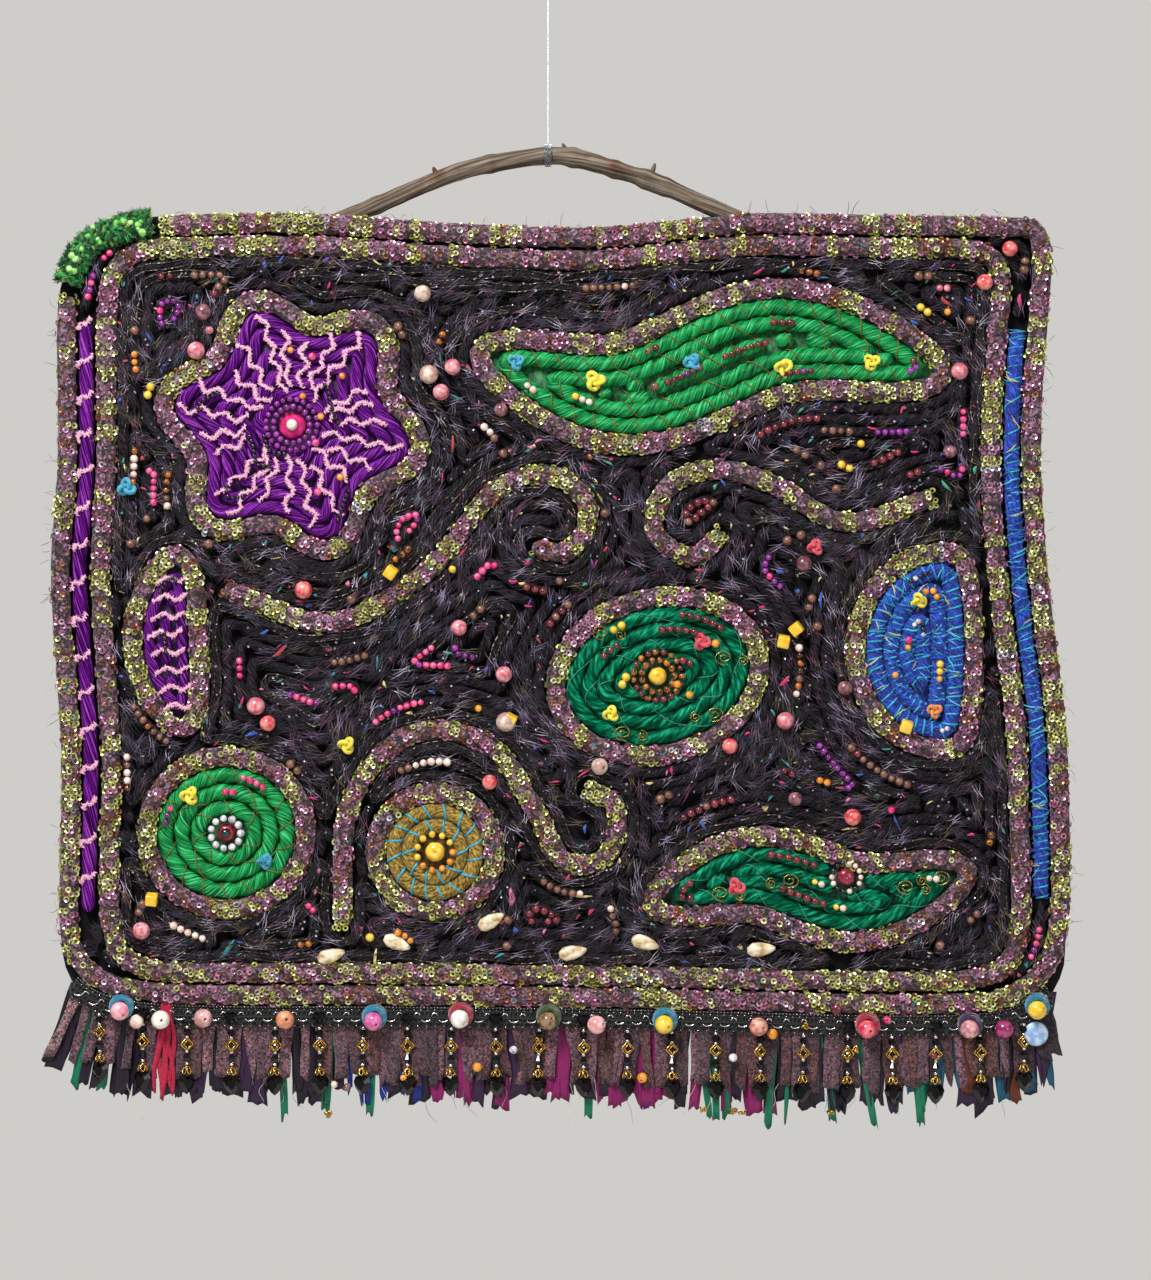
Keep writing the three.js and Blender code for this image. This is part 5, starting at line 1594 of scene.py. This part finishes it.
# Loose ends below the fringe: a bundle of crimson wool near the left end, and fine pale and green
# threads that have pulled out of the strips.
crimson_wool = finish(
    "crimson_wool_strand", [(0.3, "6f0224"), (0.5, "b20539"), (0.7, "d31751")], 0.85, (600, 3, 3),
    along=True, relief=0.0008, Sheen_Weight=0.1,
)
CRIMSON_STRANDS, CRIMSON_X, CRIMSON_TOP = 7, -244, -534
runs = []
for k in range(CRIMSON_STRANDS):
    down = np.linspace(0, 1, 16)
    x = CRIMSON_X + (k - 3) * (0.8 + 1.2 * down ** 1.5) + 2.2 * np.sin(down * 6 + k * 1.9)
    path = np.column_stack([x, CRIMSON_TOP - down * rng.uniform(52, 68)])
    runs.append(run(path, 7.2 + 0.9 * np.sin(k * 2.2 + down * 4), False, 1.6, 1.2))
placed("crimson_strands", laid("crimson_strands", runs, 8, 2, 0.25, 0.008, 0.15), crimson_wool, "felt")
pulled_thread = finish(
    "pulled_silk_thread", [(0, "c9cfc4"), (0.35, "0f7a5c"), (0.6, "d9cfa8"), (0.85, "2b2230")], 0.5,
    by_lot=True,
)
PULLED_THREADS, PULLED_TOP = 34, -588
runs = []
for k in range(PULLED_THREADS):
    x, fall = rng.uniform(-290, 300), rng.uniform(12, 26)
    down = np.linspace(0, 1, 9)
    strays = x + rng.normal(0, 5) * down ** 2 + 1.5 * np.sin(down * 6 + k)
    path = np.column_stack([strays, PULLED_TOP - fall * down])
    runs.append(run(path, 4 + rng.uniform(0, 2), False, 0.16))
placed("pulled_threads", laid("pulled_threads", runs, 3), pulled_thread, "loose_fibres")


# Braid trim: black crochet lace with a scalloped lower edge, dotted with silver along the top, and a
# silver cord worked through it in short arcs. Cut black stones are sewn on between the drops.
TRIM_HEIGHT, TRIM_DEPTH, LACE_DEPTH, EYELET_DEPTH, DOT_DEPTH, ARC_DEPTH = 13, 6.1, 7.2, 7.3, 8.2, 8.0
trim_line = evenly(offset(lower_edge, False, -TRIM_HEIGHT / 2), False, 2)
black_crochet = finish(
    "black_crochet_cotton", [(0.35, "050506"), (0.6, "121114"), (0.8, "26242a")], 0.65, (700, 700, 700),
    relief=0.0005, Sheen_Weight=0.15,
)
runs = [run(trim_line, TRIM_DEPTH, False, TRIM_HEIGHT / 2 - 0.9, 0.7)]
for reach, half in ((5.7, 0.9), (3.6, 0.55), (-0.6, 0.5)):
    runs.append(run(offset(trim_line, False, reach), LACE_DEPTH, False, half))
lace_braid = placed(
    "lace_braid", laid("lace_braid", runs, 8, 2, 0.2, 0.004, front=(0.01, -1, 0.01)), black_crochet,
    "black_braid", "bead_trim",
)
eyelet_ring = around(7, lambda a: (math.cos(a), math.sin(a), 0))
eyelet = laid("eyelet", [(eyelet_ring, True, 0.3, 0.3)], 3, front=(0, 0, 1))
EYELETS = [
    # distance above the middle of the braid, radius, step
    (4.6, 1.1, 2.1), (1.6, 1.5, 2.7), (-2.2, 1.6, 3.0), (-5.0, 2.1, 5.6),
]
rows = [evenly(offset(trim_line, False, reach), False, step)[1:-1] for reach, _, step in EYELETS]
sizes = np.concatenate([np.full(len(row), size) for row, (_, size, _) in zip(rows, EYELETS)])
sewn(
    "lace_eyelets", black_crochet, "black_braid",
    eyelet, lifted(np.vstack(rows), EYELET_DEPTH) * MM, (0, -1, 0.01), (1, 0, 0), sizes * MM, sizes,
)

silver_plate = finish(
    "bright_silver_plate", [(0.3, "b9b7b5"), (0.5, "d8d6d3"), (0.7, "f0efec")], 0.18, (900, 900, 900),
    relief=0.0001, Metallic=0.9,
)
dot = bmesh.new()
bmesh.ops.create_icosphere(dot, subdivisions=1, radius=0.48)
DOT_ROWS = [
    # distance above the middle of the braid, step
    (5.9, 2.2), (4.2, 4.4), (-6.0, 5.6),
]
row = np.vstack([evenly(offset(trim_line, False, reach), False, step) for reach, step in DOT_ROWS])
sizes = rng.uniform(0.8, 1.15, len(row))
sewn(
    "silver_dots", silver_plate, "silver_seed",
    as_mesh("dot", dot), lifted(row, DOT_DEPTH) * MM, (0, -1, 0), (1, 0, 0), sizes * MM,
    sizes,
)
angle = np.linspace(0.15, math.pi - 0.15, 9)
runs = []
for number, (x, z) in enumerate(evenly(trim_line, False, 5.6)[1:-1]):
    foot, wide, rise = (0.4, 1.8, 2.1) if number % 2 else (-1.4, 3.0, -1.7)
    arc = np.column_stack([x - wide * np.cos(angle), z + foot + rise * np.sin(angle)])
    runs.append(run(arc, ARC_DEPTH, False, 0.5))
arc_mesh = laid("silver_arcs", runs, 5, 2, 0.3, 0.0024, front=(0.01, -1, 0.02))
placed("silver_arcs", arc_mesh, silver_plate, "metal_trim")

cut_jet = finish(
    "cut_black_glass", [(0.3, "020203"), (0.7, "08070a")], 0.08, relief=0.00003, Specular_IOR_Level=0.35,
    Coat_Weight=0.15, Coat_Roughness=0.05,
)


def cut_heart(width, height, thickness):
    """A faceted heart, point down in y, with a table to the front and to the back."""
    made = bmesh.new()
    outline = [
        (0, 0.36), (0.2, 0.46), (0.4, 0.4), (0.5, 0.16), (0.4, -0.12), (0.2, -0.36), (0, -0.5),
        (-0.2, -0.36), (-0.4, -0.12), (-0.5, 0.16), (-0.4, 0.4), (-0.2, 0.46),
    ]
    made.faces.new([made.verts.new((x * width, y * height, 0)) for x, y in outline])
    top = bmesh.ops.extrude_face_region(made, geom=made.faces[:])
    upper = [part for part in top["geom"] if isinstance(part, bmesh.types.BMVert)]
    bmesh.ops.scale(made, vec=(0.5, 0.5, 1), verts=upper)
    bmesh.ops.translate(made, vec=(0, 0.03 * height, thickness / 2), verts=upper)
    girdle = [face for face in made.faces if all(abs(vert.co.z) < 1e-6 for vert in face.verts)]
    bmesh.ops.delete(made, geom=girdle, context="FACES_ONLY")
    bmesh.ops.mirror(made, geom=made.verts[:] + made.edges[:] + made.faces[:], axis="Z", merge_dist=1e-4)
    bmesh.ops.recalc_face_normals(made, faces=made.faces)
    return as_mesh("heart", made)


STONES_FROM, STONES_TO, STONE_PITCH, STONE_DEPTH = -258, 300, 56.14, 9.4
stone_x = np.arange(STONES_FROM, STONES_TO, STONE_PITCH)
stones = np.column_stack([stone_x, np.interp(stone_x, trim_line[:, 0], trim_line[:, 1]) - 1])
sizes = np.full(len(stones), MM)
sewn(
    "trim_stones", cut_jet, "black_glass",
    cut_heart(9, 8, 4), lifted(stones, STONE_DEPTH) * MM, (0, -1, 0), (1, 0, 0), sizes, sizes,
    smooth_faces=False,
)


# Bead drops: 22 of them hang from the lower edge of the braid. From the top: silver seed, cut black
# bead, seed, gold star, seed, black bicone, seed, filigree cap and a faceted black heart.
DROPS, DROP_PITCH, FIRST_DROP, DROP_DEPTH = 22, 28.07, -286, 8.3
drop_x = FIRST_DROP + DROP_PITCH * np.arange(DROPS)
drop_top = np.interp(drop_x, trim_line[:, 0], trim_line[:, 1]) - TRIM_HEIGHT / 2
drop_lean = rng.normal(0, 0.02, DROPS)
faces_out = np.column_stack([rng.normal(0, 0.32, DROPS), np.full(DROPS, -1.0), np.zeros(DROPS)])
sideways = np.column_stack([np.ones(DROPS), rng.normal(0, 0.3, DROPS), np.zeros(DROPS)])


def strung(name, stamp, levels, upright, material, slot_name, smooth_faces=False):
    """The same bead on every drop, at some distances below the braid, upright or with its front out."""
    places = np.vstack([
        np.column_stack([drop_x + drop_lean * below, np.full(DROPS, -DROP_DEPTH), drop_top - below])
        for below in levels
    ])
    fronts = (0, 0, 1) if upright else np.vstack([faces_out] * len(levels))
    sizes = np.full(len(places), MM)
    ways = np.vstack([sideways] * len(levels))
    sewn(name, material, slot_name, stamp, places * MM, fronts, ways, sizes, sizes, smooth_faces)


def wires(paths, half, sides, front):
    """Bent wires in one mesh, in millimetres."""
    runs = [(np.array(path), closed, half, half) for path, closed in paths]
    return laid("wires", runs, sides, front=front)


seed_bead = bmesh.new()
bmesh.ops.create_icosphere(seed_bead, subdivisions=2, radius=1.32)
SEED_LEVELS = [1.2, 7.4, 16.6, 24.4]
strung("drop_seeds", as_mesh("seed", seed_bead), SEED_LEVELS, True, silver_plate, "silver_seed", True)
cut_bead = turned_shape([(0, 2.3), (1.2, 2.1), (2.5, 0.8), (2.5, -0.8), (1.2, -2.1), (0, -2.3)], 8)
strung("drop_cut_beads", as_mesh("cut_bead", cut_bead), [4.3], True, cut_jet, "black_glass")
bicone = turned_shape([(0, 3.2), (0.9, 3.0), (2.7, 0), (0.9, -3.0), (0, -3.2)], 7)
strung("drop_bicones", as_mesh("bicone", bicone), [20.5], True, cut_jet, "black_glass")


def star_point(angle):
    reach = 4.1 * (1 - 0.3 * abs(math.sin(2 * angle)))
    return (reach * math.cos(angle), reach * math.sin(angle), 0)


star_peak = [(-2.9, -0.2, 1.2), (-1.2, 1.4, 1.7), (0, 3.2, 1.4), (1.2, 1.4, 1.7), (2.9, -0.2, 1.2)]
star_foot = [(-x, -y, z) for x, y, z in star_peak]
star_wires = [(around(16, star_point), True), (star_peak, False), (star_foot, False)]
star = wires(star_wires, 0.66, 5, (0.01, 0.02, 1))
strung("drop_stars", star, [12.0], False, gold_plate, "metal_trim", True)
core = turned_shape([(0, 1.6), (1.3, 1.1), (1.9, 0), (1.3, -1.1), (0, -1.6)], 8)
strung("drop_star_cores", as_mesh("core", core), [12.0], True, cut_jet, "black_glass")


def petal_point(angle):
    height = 0.2 + 2.1 * math.cos(angle)
    return (2.5 - 0.42 * height, 1.35 * math.sin(angle), height)


bell_cap = bmesh.new()
bell_cap.from_mesh(wires([(around(9, petal_point), True)], 0.42, 4, (1, 0, 0.42)))
petal = bell_cap.verts[:] + bell_cap.edges[:] + bell_cap.faces[:]
bmesh.ops.spin(
    bell_cap, geom=petal, axis=(0, 0, 1), cent=(0, 0, 0), steps=4, angle=1.6 * math.pi,
    use_duplicate=True,
)
collar = around(8, lambda a: (1.3 * math.cos(a), 1.3 * math.sin(a), 2.5))
bell_cap.from_mesh(wires([(collar, True)], 0.5, 4, (0, 0, 1)))
strung("drop_caps", as_mesh("bell_cap", bell_cap), [28.8], True, gold_plate, "metal_trim", True)
strung("drop_hearts", cut_heart(11.6, 13.4, 6.4), [37.4], False, cut_jet, "black_glass")


# Trim beads: fourteen marbled resin beads of 12 mm sewn along the braid, some on a ball of wound wool.
# Smaller beads, gold knots and a glass disc are sewn to the fringe below them.
TRIM_BEADS = [
    # x, distance below the middle of the braid, colour, paler vein, slot, wool
    (-272, 0.5, "e58fa0", "f4b9c0", "rose_bead", "turquoise"),
    (-246, 3, "e6dccf", "fff8f0", "pearl_bead", ""), (-219, 1, "b98482", "e3b3b3", "rose_bead", ""),
    (-167, 1.5, "cf7d55", "e8ab88", "peach_bead", ""),
    (-111, 2.5, "c94a90", "e590c2", "magenta_bead", "turquoise"),
    (-56, 0.5, "ded4cf", "ffffff", "pearl_bead", "crimson"),
    (0, 1, "5d402c", "a2835f", "brown_bead", "moss"), (31, 3, "d98a92", "f6c6c2", "rose_bead", ""),
    (74, 2, "edb90f", "f8dc5c", "yellow_bead", "turquoise"),
    (134, 2, "bd6a60", "e9b29c", "peach_bead", ""),
    (203, 2, "c92448", "ee7a86", "crimson_bead", "crimson"),
    (268, 2.5, "b56a78", "e6b0b0", "rose_bead", "plum"),
    (290, 5, "7f184f", "b3417c", "magenta_bead", ""),
    (311, 2, "edb90f", "f8dc5c", "yellow_bead", "turquoise"),
]
BALL_WOOLS = {
    # name: dark and bright shade
    "turquoise": ("083f52", "118fb5"), "crimson": ("520818", "b8123a"), "moss": ("1d280e", "41591f"),
    "plum": ("1c0924", "3f1450"),
}
BALL_HALF, BALL_DEPTH, BALL_ASIDE, BALL_RISE, BALL_YARN = 7.2, 10.6, 0.6, 2.6, 1.05
BEAD_RADIUS, BEAD_HOLE, BEAD_DEPTH = 5.95, 0.9, 14.6
wound_wools = {
    wool: finish(
        "wound_" + wool + "_wool", [(0.3, dark), (0.62, bright)], 0.9, (500, 3, 3), along=True,
        relief=0.0008, Sheen_Weight=0.5,
    )
    for wool, (dark, bright) in BALL_WOOLS.items()
}
angle = np.arange(230) * 0.52
tilt = np.floor(angle / (2 * math.pi)) * 1.9
skein = np.column_stack([np.cos(angle), 0.30 * np.sin(angle + tilt), np.sin(angle)])
skein[:, [0, 2]] *= (0.82 + 0.18 * np.sin(angle * 0.31))[:, None]
for number, (x, below, colour, pale, slot_name, wool) in enumerate(TRIM_BEADS, 1):
    height = float(np.interp(x, trim_line[:, 0], trim_line[:, 1])) - below
    bead = turned_shape(pierced(BEAD_RADIUS, BEAD_HOLE, 16), 28)
    lean = Matrix.Rotation(rng.uniform(-0.7, 0.7), 4, "Z") @ Matrix.Rotation(rng.uniform(0.2, 0.9), 4, "Y")
    name = "trim_bead_" + str(number)
    look = polished("marbled_resin_" + colour, colour, pale, 0.22)
    fitted(name + "_marbled", bead, (x, -BEAD_DEPTH, height), TO_FRONT @ lean, look, slot_name, name)
    if wool:
        ball = skein * BALL_HALF + (x + BALL_ASIDE, -BALL_DEPTH, height + BALL_RISE)
        name = "wool_ball_" + str(number)
        yarn = (ball * MM, False, BALL_YARN * MM, BALL_YARN * MM)
        mesh = laid(name, [yarn], 5, front=(0.1, -1, 0.02))
        placed(name, mesh, wound_wools[wool], "felt")

CHARMS = [
    # x, z, depth, radius, kind
    (-262, -548, 10, 4.6, "pale_bead"), (143, -556, 10, 3.4, "orange_bead"),
    (60, -584, 9, 3.4, "orange_bead"), (-45, -577, 10, 3.0, "orange_bead"),
    (184, -540, 9, 4.2, "maroon_bead"), (216, -547, 10, 2.6, "pink_bead"),
    (-22, -566, 10, 2.6, "clear_bead"), (118, -571, 10, 2.8, "clear_bead"),
    (-128, -590, 9, 2.6, "brown_bead"), (-136, -588, 10, 2.2, "pale_bead"),
    (-92, -584, 9, 2.2, "orange_bead"), (246, -570, 9, 2.4, "maroon_bead"),
]
for kind in sorted({charm[4] for charm in CHARMS}):
    spots = np.array([charm[:4] for charm in CHARMS if charm[4] == kind])
    name = "fringe_" + kind + "s"
    fronts = rng.normal(0, 1, (len(spots), 3))
    places = lifted(spots[:, :2], spots[:, 2]) * MM
    sewn(
        name, bead_finishes[kind], BEAD_KINDS[kind][3],
        large_bead, places, fronts, (1, 0, 0), spots[:, 3] * MM, spots[:, 0] * 0,
    )
GOLD_KNOTS = [
    # x, z
    (164, -551), (196, -566), (-6, -560), (118, -605), (124, -606), (99, -604), (180, -606), (-140, -607),
]
GOLD_KNOT_SIZE, GOLD_KNOT_DEPTH = 0.8, 9.2
spots = np.array(GOLD_KNOTS, float)
sizes = np.full(len(spots), GOLD_KNOT_SIZE * MM)
knot = wires([(trefoil[::2], True)], 0.9, 4, (0.1, -1, 0.2))
fronts = rng.normal(0, 1, (len(spots), 3))
places = lifted(spots, GOLD_KNOT_DEPTH) * MM
sewn("gold_knots", gold_plate, "metal_trim", knot, places, fronts, (1, 0, 0), sizes, sizes)
DISC_PLACE = (311, -9.0, -556)
disc = turned_shape([(0, 1.3), (6.6, 1.1), (7.8, 0.3), (7.8, -0.3), (6.6, -1.1), (0, -1.3)], 30)
pale_blue_glass = polished("pale_blue_glass", "7fa3cf", "b9d0ea", 0.15)
fitted("pale_blue_disc", disc, DISC_PLACE, TO_FRONT, pale_blue_glass, "pearl_bead")


# Studio: a plain pale floor below the hanging, an even pale surround and large soft lamps. The surround
# is dimmer than it looks to the camera, so that the lamps model the rows.
FLOOR_PLACE, FLOOR_SIZE = (0, -0.35, -0.80), (1.8, 1.3)
floor = bmesh.new()
floor_place = Matrix.Translation(FLOOR_PLACE) @ Matrix.Diagonal((*FLOOR_SIZE, 1, 1))
bmesh.ops.create_grid(floor, x_segments=1, y_segments=1, size=0.5, matrix=floor_place)
studio_floor = bpy.data.objects.new("studio_floor", as_mesh("studio_floor", floor))
pale_paint = finish("pale_matt_paint", [(0.3, "cbc8c2"), (0.7, "d3d0ca")], 0.8, (20, 20, 20))
studio_floor.data.materials.append(pale_paint)
bpy.context.scene.collection.objects.link(studio_floor)

AMBIENT = 0.5
world = bpy.data.worlds.new("pale_surround")
world.use_nodes = True
seen = node(world.node_tree, "ShaderNodeLightPath").outputs["Is Camera Ray"]
strength = node(
    world.node_tree, "ShaderNodeMath", {"operation": "MULTIPLY_ADD"}, _0=seen, _1=1 - AMBIENT, _2=AMBIENT,
)
background = world.node_tree.nodes["Background"]
background.inputs["Color"].default_value = linear("cfcdc9")
world.node_tree.links.new(strength.outputs[0], background.inputs["Strength"])
bpy.context.scene.world = world
LIT_PLACE = (0, 0, -0.3)
LAMPS = [
    # name, place, size, power
    ("key_lamp", (-0.7, -1.3, 1.1), 0.7, 52), ("fill_lamp", (1.3, -1.6, -0.1), 1.2, 9),
    ("back_lamp", (0.3, 1.6, 0.6), 1.2, 22),
]
for name, place, size, power in LAMPS:
    lamp_data = bpy.data.lights.new(name, "AREA")
    lamp_data.shape = "DISK"
    lamp_data.size = size
    lamp_data.energy = power
    lamp = bpy.data.objects.new(name, lamp_data)
    lamp.location = place
    lamp.rotation_euler = (Vector(LIT_PLACE) - Vector(place)).to_track_quat("-Z", "Y").to_euler()
    bpy.context.scene.collection.objects.link(lamp)
bpy.context.scene.view_settings.view_transform = "Standard"
